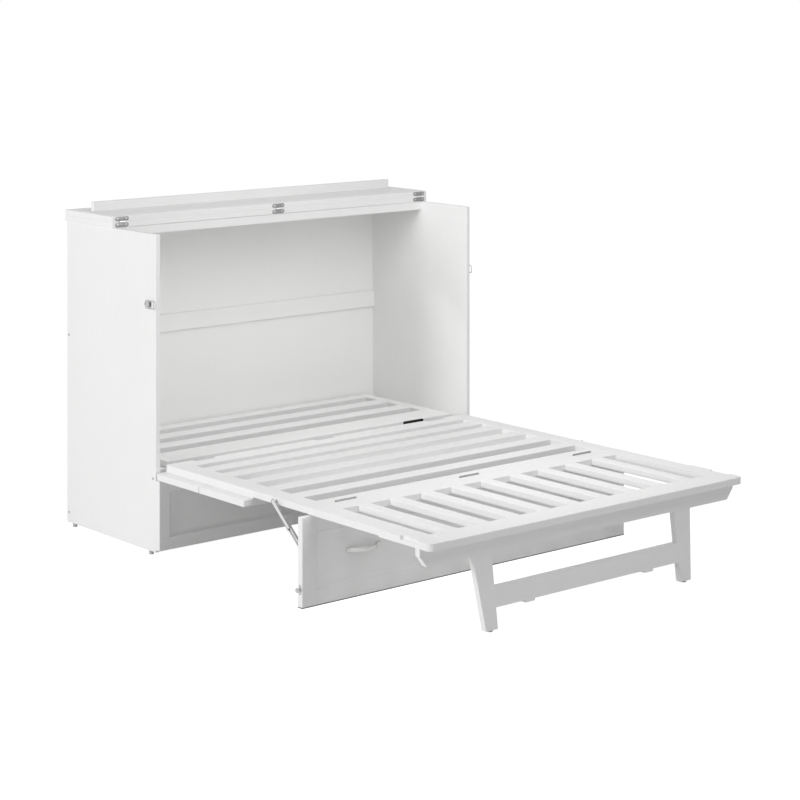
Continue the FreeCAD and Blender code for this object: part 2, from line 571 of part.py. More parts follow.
def hinge_pins(name, spots, spread, width, axis, pin):
    """A pin through each hinge."""
    return [
        rod(f"{name}_{spot}", "x", pin, width, (f"{sign} * {spread} - {width} / 2",) + axis)
        for spot, sign in spots
    ]


LIGHT_CLEAR = "(knuckle_radius + hinge_clear)"
HEAVY_CLEAR = "(heavy_knuckle_radius + hinge_clear)"

LID_AXIS = ("lid_line - hinge_standoff", TOP_FACE)
plain_leaves("lid_hinge_fixed_leaves", HINGE_SPOTS, "lid_hinge_spread", "lid_hinge_width",
             ("lid_line - leaf_thickness", f"{TOP_FACE} - lid_leaf_reach", "leaf_thickness",
              f"lid_leaf_reach - {LIGHT_CLEAR}"),
             ("lid_line - leaf_thickness", f"{TOP_FACE} - {LIGHT_CLEAR}", "leaf_thickness", LIGHT_CLEAR),
             False, LID_AXIS, "knuckle_radius", "pin_radius")
plain_leaves("lid_hinge_moving_leaves", HINGE_SPOTS, "lid_hinge_spread", "lid_hinge_width",
             ("lid_line - leaf_thickness", f"{TOP_FACE} + {LIGHT_CLEAR}", "leaf_thickness",
              f"lid_leaf_reach - {LIGHT_CLEAR}"),
             ("lid_line - leaf_thickness", TOP_FACE, "leaf_thickness", LIGHT_CLEAR),
             True, LID_AXIS, "knuckle_radius", "pin_radius")
lid_pins = hinge_pins("lid_pin", HINGE_SPOTS, "lid_hinge_spread", "lid_hinge_width", LID_AXIS, "pin_radius")

BED_LINE = ("0", BED_AXIS)
plain_leaves("bed_hinge_fixed_leaves", HINGE_SPOTS, "bed_hinge_spread", "bed_hinge_width",
             ("bed_leaf_inset", f"{BED_AXIS} - bed_leaf_drop", "bed_leaf_thickness",
              f"bed_leaf_drop - {HEAVY_CLEAR}"),
             ("bed_leaf_inset", f"{BED_AXIS} - {HEAVY_CLEAR}", "bed_leaf_thickness", HEAVY_CLEAR),
             False, BED_LINE, "heavy_knuckle_radius", "heavy_pin_radius")
plain_leaves("bed_hinge_moving_leaves", HINGE_SPOTS, "bed_hinge_spread", "bed_hinge_width",
             ("-bed_leaf_reach", f"{UNDERSIDE} - bed_leaf_thickness", f"bed_leaf_reach - {HEAVY_CLEAR}",
              "bed_leaf_thickness"),
             (f"-{HEAVY_CLEAR}", f"{UNDERSIDE} - bed_leaf_thickness", HEAVY_CLEAR, "bed_leaf_thickness"),
             True, BED_LINE, "heavy_knuckle_radius", "heavy_pin_radius")
bed_pins = hinge_pins("bed_pin", HINGE_SPOTS, "bed_hinge_spread", "bed_hinge_width", BED_LINE,
                      "heavy_pin_radius")
node("cabinet_hinge_pins", lid_pins + bed_pins)

FOLD_LINE = (FOLD_AXIS_Y, FOLD_AXIS_Z)
FOLD_MIDDLE_FACE = "(-middle_reach + fold_notch_depth - bed_leaf_thickness)"
FOLD_FOOT_FACE = f"(-{FOOT_START} - fold_notch_depth)"
FOLD_PLATE_TALL = f"fold_leaf_drop - {HEAVY_CLEAR}"
plain_leaves("fold_hinge_middle_leaves", HINGE_SPOTS, "fold_hinge_spread", "fold_hinge_width",
             (FOLD_MIDDLE_FACE, f"{FOLD_AXIS_Z} - fold_leaf_drop", "bed_leaf_thickness", FOLD_PLATE_TALL),
             (FOLD_MIDDLE_FACE, f"{FOLD_AXIS_Z} - {HEAVY_CLEAR}", "bed_leaf_thickness", HEAVY_CLEAR),
             False, FOLD_LINE, "heavy_knuckle_radius", "heavy_pin_radius")
plain_leaves("fold_hinge_foot_leaves", HINGE_SPOTS, "fold_hinge_spread", "fold_hinge_width",
             (FOLD_FOOT_FACE, f"{FOLD_AXIS_Z} - fold_leaf_drop", "bed_leaf_thickness", FOLD_PLATE_TALL),
             (FOLD_FOOT_FACE, f"{FOLD_AXIS_Z} - {HEAVY_CLEAR}", "bed_leaf_thickness", HEAVY_CLEAR),
             True, FOLD_LINE, "heavy_knuckle_radius", "heavy_pin_radius")
fold_pins = hinge_pins("fold_pin", HINGE_SPOTS, "fold_hinge_spread", "fold_hinge_width", FOLD_LINE,
                       "heavy_pin_radius")

SUPPORT_LINE = (SUPPORT_BACK, SUPPORT_AXIS)
plain_leaves("support_hinge_middle_leaves", HINGE_SPOTS, "support_hinge_spread", "support_hinge_width",
             (f"{SUPPORT_BACK} + {LIGHT_CLEAR}", f"{UNDERSIDE} - leaf_thickness",
              f"support_leaf_reach - {LIGHT_CLEAR}", "leaf_thickness"),
             (SUPPORT_BACK, f"{UNDERSIDE} - leaf_thickness", LIGHT_CLEAR, "leaf_thickness"),
             False, SUPPORT_LINE, "knuckle_radius", "pin_radius")
plain_leaves("support_hinge_panel_leaves", HINGE_SPOTS, "support_hinge_spread", "support_hinge_width",
             (SUPPORT_BACK, f"{SUPPORT_AXIS} - support_leaf_reach", "leaf_thickness",
              f"support_leaf_reach - {LIGHT_CLEAR}"),
             (SUPPORT_BACK, f"{SUPPORT_AXIS} - {LIGHT_CLEAR}", "leaf_thickness", LIGHT_CLEAR),
             True, SUPPORT_LINE, "knuckle_radius", "pin_radius")
support_pins = hinge_pins("support_pin", HINGE_SPOTS, "support_hinge_spread", "support_hinge_width",
                          SUPPORT_LINE, "pin_radius")
node("middle_hinge_pins", fold_pins + support_pins)

LEG_LINE = (f"{FOOT_RAIL_BACK} + hinge_standoff", LEG_LENGTH)
LEG_SPREAD = "(leg_inner + leg_top_width / 2)"
plain_leaves("leg_hinge_rail_leaves", SIDES, LEG_SPREAD, "leg_hinge_width",
             (FOOT_RAIL_BACK, f"{LEG_LENGTH} + {LIGHT_CLEAR}", "leaf_thickness",
              f"leg_leaf_reach - {LIGHT_CLEAR}"),
             (FOOT_RAIL_BACK, LEG_LENGTH, "leaf_thickness", LIGHT_CLEAR),
             False, LEG_LINE, "knuckle_radius", "pin_radius")
LEG_LEAF_LOW = f"{LEG_LENGTH} - leg_leaf_reach"
leg_leaves = []
for side, sign in SIDES:
    middle = f"{sign} * {LEG_SPREAD}"
    span = (f"{middle} - leg_hinge_width / 2", f"{middle} + leg_hinge_width / 2")
    third = (f"{middle} - leg_hinge_width / 6", f"{middle} + leg_hinge_width / 6")
    faces = leg_depths(LEG_LEAF_LOW, f"{LEG_LENGTH} - {LIGHT_CLEAR}")
    plate = lean_slab(f"{side}_leg_leaf_plate", span, span, f"leg_leaf_reach - {LIGHT_CLEAR}",
                      tuple((f"{back} + leaf_thickness", back) for back, front in faces), LEG_LEAF_LOW)
    tab = (FOOT_RAIL_BACK, f"{LEG_LENGTH} - {LIGHT_CLEAR}", "leaf_thickness", LIGHT_CLEAR)
    leg_leaves.append(hinge_leaf(f"{side}_leg_leaf", middle, "leg_hinge_width", plate, tab, True, LEG_LINE,
                                 "knuckle_radius", "pin_radius"))
node("leg_hinge_leg_leaves", leg_leaves)
node("leg_hinge_pins", hinge_pins("leg_pin", SIDES, LEG_SPREAD, "leg_hinge_width", LEG_LINE, "pin_radius"))

# Stays between the support panel and the middle section
STAY_PIVOT = ("0", f"{SUPPORT_BACK} + stay_pivot_standoff", f"{SUPPORT_AXIS} - stay_pivot_drop")
STAY_OUTER = "(stay_inner + stay_width)"
stay_angle = math.degrees(math.atan2(SIZES["stay_rise"], SIZES["stay_run"]))
STAY_REACH = "((stay_run * stay_run + stay_rise * stay_rise) ^ (1 / 2))"


def on_stay(thing):
    """Set a piece made along its own y at the stay's pivot and slope."""
    thing.Placement.Rotation = FreeCAD.Rotation(X_AXIS, stay_angle)
    return place(thing, STAY_PIVOT)


brackets = []
for side, sign in SIDES:
    bar = box(f"{side}_stay_bar", ("stay_width", "stay_end + stay_channel_length", "stay_height"),
              (side_x(sign, "stay_inner", "stay_width"), "-stay_end", "-stay_height / 2"), True)
    groove = box(f"{side}_stay_groove", ("slide_groove + cut_overrun",
                                         "stay_channel_length - groove_start + cut_overrun",
                                         "slide_height + 2 * slide_play"),
                 (side_x(sign, f"{STAY_OUTER} - slide_groove", "slide_groove + cut_overrun"), "groove_start",
                  "-slide_height / 2 - slide_play"), True)
    eye = rod(f"{side}_stay_eye", "x", "stay_pin_radius + hinge_play", "stay_width + 2 * cut_overrun",
              (side_x(sign, "stay_inner - cut_overrun", "stay_width + 2 * cut_overrun"), "0", "0"), True)
    node(f"{side}_stay_channel", [on_stay(cut(f"{side}_channel", bar, [groove, eye]))])

    inner_face = f"({STAY_OUTER} - slide_groove + slide_play)"
    tongue = box(f"{side}_slide_tongue", ("slide_width", "slide_length", "slide_height"),
                 (side_x(sign, inner_face, "slide_width"), f"{STAY_REACH} - slide_length",
                  "-slide_height / 2"), True)
    eye_end = rod(f"{side}_slide_eye", "x", "slide_eye", "slide_width",
                  (side_x(sign, inner_face, "slide_width"), STAY_REACH, "0"), True)
    stud_start = "(bed_width / 2 + stud_gap)"
    stud = rod(f"{side}_slide_stud", "x", "stud_radius", f"{inner_face} - {stud_start}",
               (side_x(sign, stud_start, f"{inner_face} - {stud_start}"), STAY_REACH, "0"), True)
    node(f"{side}_stay_slide", [on_stay(fuse(f"{side}_slide", [tongue, eye_end, stud]))])

    ear_face = f"({STAY_OUTER} + bracket_gap)"
    ear = box(f"{side}_bracket_ear",
              ("bracket_thickness", "stay_pivot_standoff + stay_end", "bracket_height"),
              (side_x(sign, ear_face, "bracket_thickness"), SUPPORT_BACK,
               f"{STAY_PIVOT[2]} - bracket_height / 2"))
    plate = box(f"{side}_bracket_plate", ("bracket_plate_width", "bracket_plate", "bracket_height"),
                (side_x(sign, f"{ear_face} + bracket_thickness - bracket_plate_width", "bracket_plate_width"),
                 SUPPORT_BACK, f"{STAY_PIVOT[2]} - bracket_height / 2"))
    pin = rod(f"{side}_bracket_pin", "x", "stay_pin_radius", "stay_width + bracket_gap",
              (side_x(sign, "stay_inner", "stay_width + bracket_gap"),) + STAY_PIVOT[1:])
    brackets.append(fuse(f"{side}_bracket", [ear, plate, pin]))
node("stay_brackets", brackets)

# Latches on the outside of the cabinet's sides
LATCH_X = "(cabinet_width / 2 + latch_standoff)"
bases = []
for side, sign in SIDES:
    plate = box(f"{side}_latch_plate", ("latch_plate", "latch_plate_length", "latch_plate_height"),
                (side_x(sign, "cabinet_width / 2", "latch_plate"), "latch_plate_front",
                 "latch_height - latch_plate_height / 2"))
    pieces = [plate]
    for end, low in (("low", "latch_height - lever_height / 2 - ear_gap - ear_thickness"),
                     ("high", "latch_height + lever_height / 2 + ear_gap")):
        pieces.append(box(f"{side}_latch_{end}_ear", ("ear_reach", "ear_length", "ear_thickness"),
                          (side_x(sign, "cabinet_width / 2", "ear_reach"),
                           "lever_pivot - ear_length / 2", low)))
    pieces.append(rod(f"{side}_latch_pin", "z", "latch_pin_radius", "lever_height + 2 * ear_gap",
                      (f"{sign} * {LATCH_X}", "lever_pivot", "latch_height - lever_height / 2 - ear_gap")))
    bases.append(fuse(f"{side}_latch_base", pieces))

    blade = box(f"{side}_lever_blade", ("lever_thickness", "lever_end - lever_front", "lever_height"),
                (side_x(sign, f"{LATCH_X} - lever_thickness / 2", "lever_thickness"), "lever_front",
                 "latch_height - lever_height / 2"))
    bores = [
        rod(f"{side}_lever_{use}_bore", "z", f"{wire} + hinge_play", "lever_height + 2 * cut_overrun",
            (f"{sign} * {LATCH_X}", depth, "latch_height - lever_height / 2 - cut_overrun"))
        for use, wire, depth in (("pin", "latch_pin_radius", "lever_pivot"),
                                 ("loop", "loop_wire", "lever_loop"))
    ]
    node(f"{side}_latch_lever", [cut(f"{side}_lever", blade, bores)])

    wires = [
        rod(f"{side}_loop_{end}_bar", "z", "loop_wire", "loop_height + 2 * loop_wire",
            (f"{sign} * {LATCH_X}", depth, "latch_height - loop_height / 2 - loop_wire"))
        for end, depth in (("front", "loop_front"), ("rear", "lever_loop"))
    ]
    wires += [
        rod(f"{side}_loop_{end}_side", "y", "loop_side_wire", "lever_loop - loop_front",
            (f"{sign} * {LATCH_X}", "loop_front", f"latch_height + {way} * loop_height / 2"))
        for end, way in (("low", -1), ("high", 1))
    ]
    node(f"{side}_latch_loop", [fuse(f"{side}_loop", wires)])
node("latch_bases", bases)

doc.recompute()
for thing in doc.Objects:
    if "Invalid" in thing.State or "Error" in thing.State:
        raise RuntimeError(f"{thing.Name} did not build: {thing.State}")
for thing in NODES:
    if thing.Shape.isNull() or not thing.Shape.isValid():
        raise RuntimeError(f"{thing.Label} has no valid shape")
    thing.Shape.exportStep(f"parts/{thing.Label}.step")
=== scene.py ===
import json
import math

import bmesh
import bpy
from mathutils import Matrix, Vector


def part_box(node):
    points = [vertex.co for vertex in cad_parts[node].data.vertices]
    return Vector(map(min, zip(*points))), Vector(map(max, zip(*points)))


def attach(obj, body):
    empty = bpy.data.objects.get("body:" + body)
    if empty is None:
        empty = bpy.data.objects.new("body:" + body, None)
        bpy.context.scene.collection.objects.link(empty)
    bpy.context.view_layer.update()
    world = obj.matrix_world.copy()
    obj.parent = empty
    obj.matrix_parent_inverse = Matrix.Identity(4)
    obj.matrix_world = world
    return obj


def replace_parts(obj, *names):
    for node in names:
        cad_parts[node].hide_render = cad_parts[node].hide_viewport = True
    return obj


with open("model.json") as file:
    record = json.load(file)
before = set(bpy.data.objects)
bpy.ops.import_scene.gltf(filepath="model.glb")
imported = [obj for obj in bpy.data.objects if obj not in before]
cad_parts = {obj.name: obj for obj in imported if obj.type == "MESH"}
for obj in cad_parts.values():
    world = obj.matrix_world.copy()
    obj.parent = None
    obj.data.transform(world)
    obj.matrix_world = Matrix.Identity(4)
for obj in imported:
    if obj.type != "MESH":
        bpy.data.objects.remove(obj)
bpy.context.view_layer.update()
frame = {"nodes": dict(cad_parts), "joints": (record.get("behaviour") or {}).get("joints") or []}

# Cabinet sides: two upright boards of faced panel, sprayed white and rubbed down.
# The grain runs upwards and only just shows through the satin paint.
UPRIGHT = "Z"
SIDE_WHITE = (0.89, 0.89, 0.887)
GRAIN_STRETCH = 14.0
GRAIN_SCALE = 9.0
GRAIN_DETAIL = 6.0
GRAIN_ROUGH = 0.62
GRAIN_SHARE = 0.55
CLOUD_SCALE = 4.5
CLOUD_DETAIL = 3.0
CLOUD_SHARE = 0.45
PEEL_SCALE = 520.0
PEEL_DETAIL = 2.0
PEEL_SHARE = 0.25
PAINT_SPAN = (0.32, 0.66)
PAINT_SHADE = 0.035
PAINT_GLOSS = (0.36, 0.47)
PAINT_RELIEF = 0.10
PAINT_DEPTH = 0.0008
SATIN_SPAN = (0.3, 0.7)


def wire(tree, start, end):
    tree.links.new(start, end)


def blank(finish):
    stuff = bpy.data.materials.new(finish)
    stuff.use_nodes = True
    tree = stuff.node_tree
    place = tree.nodes.new("ShaderNodeTexCoord").outputs["Object"]
    return stuff, tree, tree.nodes["Principled BSDF"], place


def noise(tree, place, scale, detail):
    pattern = tree.nodes.new("ShaderNodeTexNoise")
    pattern.inputs["Scale"].default_value = scale
    pattern.inputs["Detail"].default_value = detail
    wire(tree, place, pattern.inputs["Vector"])
    return pattern


def stretched(tree, place, scale):
    lay = tree.nodes.new("ShaderNodeMapping")
    lay.inputs["Scale"].default_value = scale
    wire(tree, place, lay.inputs["Vector"])
    return lay.outputs["Vector"]


def portion(tree, value, share):
    part = tree.nodes.new("ShaderNodeMath")
    part.operation = "MULTIPLY_ADD"
    part.inputs[1].default_value = share
    part.inputs[2].default_value = 0.0
    wire(tree, value, part.inputs[0])
    return part


def coloured(tree, coat, value, span, dark, light):
    ramp = tree.nodes.new("ShaderNodeValToRGB")
    for stop, position, tone in zip(ramp.color_ramp.elements, span, (dark, light)):
        stop.position = position
        stop.color = [*tone, 1]
    wire(tree, value, ramp.inputs["Fac"])
    wire(tree, ramp.outputs["Color"], coat.inputs["Base Color"])


def roughened(tree, coat, value, span, low, high):
    satin = tree.nodes.new("ShaderNodeMapRange")
    satin.inputs["From Min"].default_value, satin.inputs["From Max"].default_value = span
    satin.inputs["To Min"].default_value = low
    satin.inputs["To Max"].default_value = high
    wire(tree, value, satin.inputs["Value"])
    wire(tree, satin.outputs["Result"], coat.inputs["Roughness"])


def embossed(tree, coat, value, strength, depth):
    bump = tree.nodes.new("ShaderNodeBump")
    bump.inputs["Strength"].default_value = strength
    bump.inputs["Distance"].default_value = depth
    wire(tree, value, bump.inputs["Height"])
    wire(tree, bump.outputs["Normal"], coat.inputs["Normal"])


def painted_wood(finish, run, white, shade=PAINT_SHADE, relief=PAINT_RELIEF):
    paint, tree, coat, place = blank(finish)
    stretch = [1.0 if run == axis else GRAIN_STRETCH for axis in "XYZ"]
    grain = noise(tree, stretched(tree, place, stretch), GRAIN_SCALE, GRAIN_DETAIL)
    grain.inputs["Roughness"].default_value = GRAIN_ROUGH
    cloud = noise(tree, place, CLOUD_SCALE, CLOUD_DETAIL).outputs["Fac"]
    peel = noise(tree, place, PEEL_SCALE, PEEL_DETAIL).outputs["Fac"]
    tone = portion(tree, grain.outputs["Fac"], GRAIN_SHARE)
    wire(tree, portion(tree, cloud, CLOUD_SHARE).outputs["Value"], tone.inputs[2])
    coloured(tree, coat, tone.outputs["Value"], PAINT_SPAN, [part * (1 - shade) for part in white], white)
    roughened(tree, coat, cloud, SATIN_SPAN, *PAINT_GLOSS)
    height = portion(tree, peel, PEEL_SHARE)
    wire(tree, grain.outputs["Fac"], height.inputs[2])
    embossed(tree, coat, height.outputs["Value"], relief, PAINT_DEPTH)
    return paint


def dress(finish, *names):
    for name in names:
        for place in frame["nodes"][name].material_slots:
            place.material = finish


side_paint = painted_wood("side_paint", UPRIGHT, SIDE_WHITE)
dress(side_paint, "left_side_panel", "right_side_panel")

# Glides: four turned feet of hard grey plastic under the ends of the sides.
# Each has a spigot that is pressed into a hole in the board's lower edge.
GLIDE_GREY = (0.56, 0.56, 0.555)
GLIDE_ROUGH = 0.5
GLIDE_RELIEF = 0.15
MOULDED_GRAIN = 900.0
SPECK_DETAIL = 4.0
SPECK_SPAN = (0.3, 0.7)
SPECK_SHADE = 0.75
SPECK_BAND = 0.08
SPECK_DEPTH = 0.0003
WHOLE_SPAN = (0.0, 1.0)


def moulded(finish, tone, rough, grain, relief):
    stuff, tree, skin, place = blank(finish)
    speck = noise(tree, place, grain, SPECK_DETAIL).outputs["Fac"]
    coloured(tree, skin, speck, SPECK_SPAN, [SPECK_SHADE * part for part in tone], tone)
    roughened(tree, skin, speck, WHOLE_SPAN, rough - SPECK_BAND, rough + SPECK_BAND)
    embossed(tree, skin, speck, relief, SPECK_DEPTH)
    return stuff


glide_plastic = moulded("glide_plastic", GLIDE_GREY, GLIDE_ROUGH, MOULDED_GRAIN, GLIDE_RELIEF)
dress(glide_plastic, "cabinet_glides")

# Back: two thin faced boards let in behind the sides, with a flat rail over their joint.
# They are hardboard, smoother and a touch warmer than the painted timber.
ACROSS = "X"
BACK_WHITE = (0.89, 0.888, 0.88)
BACK_SHADE = 0.02
BACK_RELIEF = 0.05
back_paint = painted_wood("back_paint", UPRIGHT, BACK_WHITE, shade=BACK_SHADE, relief=BACK_RELIEF)
back_rail_paint = painted_wood("back_rail_paint", ACROSS, BACK_WHITE)
dress(back_paint, "back_panels")
dress(back_rail_paint, "back_rails")

# Carcass screws: raised-head steel screws through the sides into the back rails and the bearers.
# Each head has a domed rim and a cross recess, and is driven tight against the board.
PIN_GREY = (0.52, 0.52, 0.53)
PIN_ROUGH = 0.30
BRUSH_STRETCH = (1.0, 40.0, 40.0)
BRUSH_SCALE = 60.0
BRUSH_DETAIL = 4.0
BRUSH_SPAN = (0.3, 0.7)
BRUSH_SHADE = 0.12
BRUSH_BAND = 0.2
BRUSH_RELIEF = 0.08
BRUSH_DEPTH = 0.0002
CARCASS_HEAD = 0.005
SIDE_SCREW = 0.259
HEAD_RIM_SHARE = 0.8
HEAD_RIM_STEPS = 3
RECESS_SHARES = (0.13, 0.58)
RECESS_FLOOR_SHARE = 0.2
ROUND_SIDES = 20
SMOOTH_UNDER = math.radians(35)
SQUARE_ON = 0.99
LEFT, RIGHT = Vector((-1, 0, 0)), Vector((1, 0, 0))


def plated_metal(finish, tone, rough):
    metal, tree, coat, place = blank(finish)
    coat.inputs["Metallic"].default_value = 1.0
    brush = noise(tree, stretched(tree, place, BRUSH_STRETCH), BRUSH_SCALE, BRUSH_DETAIL).outputs["Fac"]
    coloured(tree, coat, brush, BRUSH_SPAN, [part * (1 - BRUSH_SHADE) for part in tone], tone)
    roughened(tree, coat, brush, WHOLE_SPAN, rough * (1 - BRUSH_BAND), rough * (1 + BRUSH_BAND))
    embossed(tree, coat, brush, BRUSH_RELIEF, BRUSH_DEPTH)
    return metal


def select_only(*pieces):
    bpy.ops.object.select_all(action="DESELECT")
    for piece in pieces:
        piece.select_set(True)
    bpy.context.view_layer.objects.active = pieces[0]


def settle_place():
    bpy.ops.object.transform_apply(location=True, rotation=True, scale=True)


def block(name, low, high):
    bpy.ops.object.select_all(action="DESELECT")
    bpy.ops.mesh.primitive_cube_add(size=1, location=(Vector(low) + Vector(high)) / 2)
    piece = bpy.context.object
    piece.name = name
    piece.scale = Vector(high) - Vector(low)
    settle_place()
    return piece


def rod(name, radius, start, end):
    line = Vector(end) - Vector(start)
    bpy.ops.object.select_all(action="DESELECT")
    bpy.ops.mesh.primitive_cylinder_add(vertices=ROUND_SIDES, radius=radius, depth=line.length,
                                        location=(Vector(start) + Vector(end)) / 2,
                                        rotation=line.to_track_quat("Z", "Y").to_euler())
    piece = bpy.context.object
    piece.name = name
    settle_place()
    return piece


def pick(piece, kind, wanted):
    select_only(piece)
    bpy.ops.object.mode_set(mode="EDIT")
    bpy.ops.mesh.select_mode(type=kind)
    bpy.ops.mesh.select_all(action="DESELECT")
    shape = bmesh.from_edit_mesh(piece.data)
    shape.normal_update()
    for part in shape.faces if kind == "FACE" else shape.edges:
        if wanted(part):
            part.select_set(True)
    shape.select_flush_mode()
    bmesh.update_edit_mesh(piece.data)


def leave_edit():
    bpy.ops.object.mode_set(mode="OBJECT")


def rounded(piece, wanted, radius, steps):
    pick(piece, "EDGE", wanted)
    bpy.ops.mesh.bevel(offset=radius, segments=steps, affect="EDGES")
    leave_edit()
    return piece


def joined(name, pieces):
    select_only(*pieces)
    if len(pieces) > 1:
        bpy.ops.object.join()
    piece = bpy.context.object
    piece.name = name
    piece.data.name = name
    return piece


def finished(piece, finish, body):
    select_only(piece)
    bpy.ops.object.shade_smooth_by_angle(angle=SMOOTH_UNDER)
    if not piece.data.materials:
        piece.data.materials.append(finish)
    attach(piece, body)
    return piece


def cross_screw(radius, rise):
    head = rod("screw", radius, (0, 0, -rise), (0, 0, rise))
    rounded(head, lambda edge: min(vert.co.z for vert in edge.verts) > 0,
            HEAD_RIM_SHARE * rise, HEAD_RIM_STEPS)
    half, reach = (share * radius for share in RECESS_SHARES)
    cross = block("recess", (-half, -half, RECESS_FLOOR_SHARE * rise), (half, half, 2 * rise))
    pick(cross, "FACE", lambda face: abs(face.normal.z) < SQUARE_ON)
    bpy.ops.mesh.extrude_faces_move(TRANSFORM_OT_shrink_fatten={"value": reach - half})
    leave_edit()
    select_only(head)
    bite = head.modifiers.new("recess", "BOOLEAN")
    bite.object = cross
    bite.operation = "DIFFERENCE"
    bpy.ops.object.modifier_apply(modifier=bite.name)
    bpy.data.objects.remove(cross)
    return head


def screwed(name, radius, rise, places, body):
    pattern = cross_screw(radius, rise)
    heads = []
    for spot, way in places:
        select_only(pattern)
        bpy.ops.object.duplicate()
        head = bpy.context.object
        head.rotation_euler = Vector(way).to_track_quat("Z", "Y").to_euler()
        head.location = spot
        settle_place()
        heads.append(head)
    bpy.data.objects.remove(pattern)
    return finished(joined(name, heads), pin_steel, body)


pin_steel = plated_metal("pin_steel", PIN_GREY, PIN_ROUGH)
side_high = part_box("right_side_panel")[1]
screw_low, screw_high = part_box("carcass_screws")
head_rise = screw_high.x - side_high.x
screw_rear, screw_front = screw_high.y - CARCASS_HEAD, screw_low.y + CARCASS_HEAD
screw_top, screw_foot = screw_high.z - CARCASS_HEAD, screw_low.z + CARCASS_HEAD
carcass_places = [
    (way * side_high.x + Vector((0, depth, level)), way)
    for way in (LEFT, RIGHT)
    for depth, level in ((screw_rear, screw_top), (screw_rear, screw_foot), (screw_front, SIDE_SCREW))
]
carcass_screws = screwed("carcass_screw_heads", CARCASS_HEAD, head_rise, carcass_places, "cabinet")
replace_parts(carcass_screws, "carcass_screws")

# Fixed top and the rail under its front edge, boards with the grain along the cabinet.
# They are screwed down on the sides and carry the lid's hinges.
TOP_WHITE = (0.89, 0.89, 0.887)
top_paint = painted_wood("top_paint", ACROSS, TOP_WHITE)
dress(top_paint, "fixed_top", "top_front_rail")

# Lower front panel: a mitred frame round a thin infill board, fixed between the sides.
# Stiles run upright and rails across, all under the same coat of paint.
FRONT_WHITE = (0.885, 0.885, 0.882)
front_paint = painted_wood("front_paint", ACROSS, FRONT_WHITE)
dress(front_paint, "lower_front_frame", "lower_front_infill")
BEAD_WIDE = 0.013
BEAD_SUNK = 0.0004
BEAD_THIN = 0.0008
COVE_SHARES = ((0.2, 0.52), (0.3, 0.33), (0.5, 0.15))
INSIDE_SHARE = 0.9
MERGE_UNDER = 0.00001
FRONT = Vector((0, -1, 0))


def facing(way):
    return lambda face: face.normal.dot(Vector(way)) > SQUARE_ON


def outward(piece):
    select_only(piece)
    bpy.ops.object.mode_set(mode="EDIT")
    bpy.ops.mesh.select_all(action="SELECT")
    bpy.ops.mesh.remove_doubles(threshold=MERGE_UNDER)
    bpy.ops.mesh.normals_make_consistent(inside=False)
    leave_edit()


def coved_bead(name, low, high, out, body):
    bead = block(name, low, high)
    depth = abs((Vector(high) - Vector(low)).dot(out)) - BEAD_THIN
    pick(bead, "FACE", facing(-out))
    bpy.ops.mesh.inset(thickness=BEAD_WIDE)
    leave_edit()
    pick(bead, "FACE", facing(out))
    for wide_share, fall_share in COVE_SHARES:
        bpy.ops.mesh.inset(thickness=wide_share * BEAD_WIDE)
        bpy.ops.transform.translate(value=out * -fall_share * depth)
    leave_edit()
    margin = INSIDE_SHARE * BEAD_WIDE
    flat = [axis for axis in range(3) if not out[axis]]

    def window(face):
        return all(low[axis] + margin < vert.co[axis] < high[axis] - margin
                   for vert in face.verts for axis in flat)

    pick(bead, "FACE", window)
    bpy.ops.mesh.bridge_edge_loops()
    leave_edit()
    outward(bead)
    return finished(bead, front_paint, body)


panel_low, panel_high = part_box("lower_front_infill")
frame_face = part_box("lower_front_frame")[0].y
coved_bead("lower_front_bead", (panel_low.x, frame_face + BEAD_SUNK, panel_low.z),
           (panel_high.x, panel_low.y, panel_high.z), FRONT, "cabinet")

# Head platform: bearers on the sides, rails and slats screwed down on them.
# Planed softwood slats, painted before they are fixed.
SLAT_WHITE = (0.89, 0.89, 0.887)
slat_paint = painted_wood("slat_paint", ACROSS, SLAT_WHITE)
dress(slat_paint, "platform_bearers", "head_rails", "head_slats")

# Buffer: a rubber strip stuck to the front edge of the head section; its near-black is painted shade for the
# dark gap at this place.
# The bed's rear rail comes to rest against it when the bed is lifted.
BUFFER_SPAN = (0.404, 0.498)
BUFFER_THICK = 0.004
BUFFER_INSET = 0.001
BUFFER_CORNER_STEPS = 4
# Near-black painted shade for the dark gap by the head section's front edge.
BUFFER_SHADE_BLACK = (0.006, 0.006, 0.006)
RUBBER_ROUGH = 0.62
RUBBER_RELIEF = 0.3


def along(axis):
    return lambda edge: abs((edge.verts[1].co - edge.verts[0].co).normalized()[axis]) > SQUARE_ON


shade_rubber = moulded("buffer_rubber", BUFFER_SHADE_BLACK, RUBBER_ROUGH, MOULDED_GRAIN, RUBBER_RELIEF)
head_low, head_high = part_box("head_rails")
buffer = block("head_buffer", (BUFFER_SPAN[0], head_low.y - BUFFER_THICK, head_low.z + BUFFER_INSET),
               (BUFFER_SPAN[1], head_low.y, head_high.z))
rounded(buffer, along(1), BUFFER_THICK, BUFFER_CORNER_STEPS)
pick(buffer, "FACE", facing(FRONT))
bpy.ops.mesh.inset(thickness=BUFFER_INSET)
bpy.ops.transform.translate(value=FRONT * -BUFFER_INSET / 2)
leave_edit()
finished(buffer, shade_rubber, "cabinet")

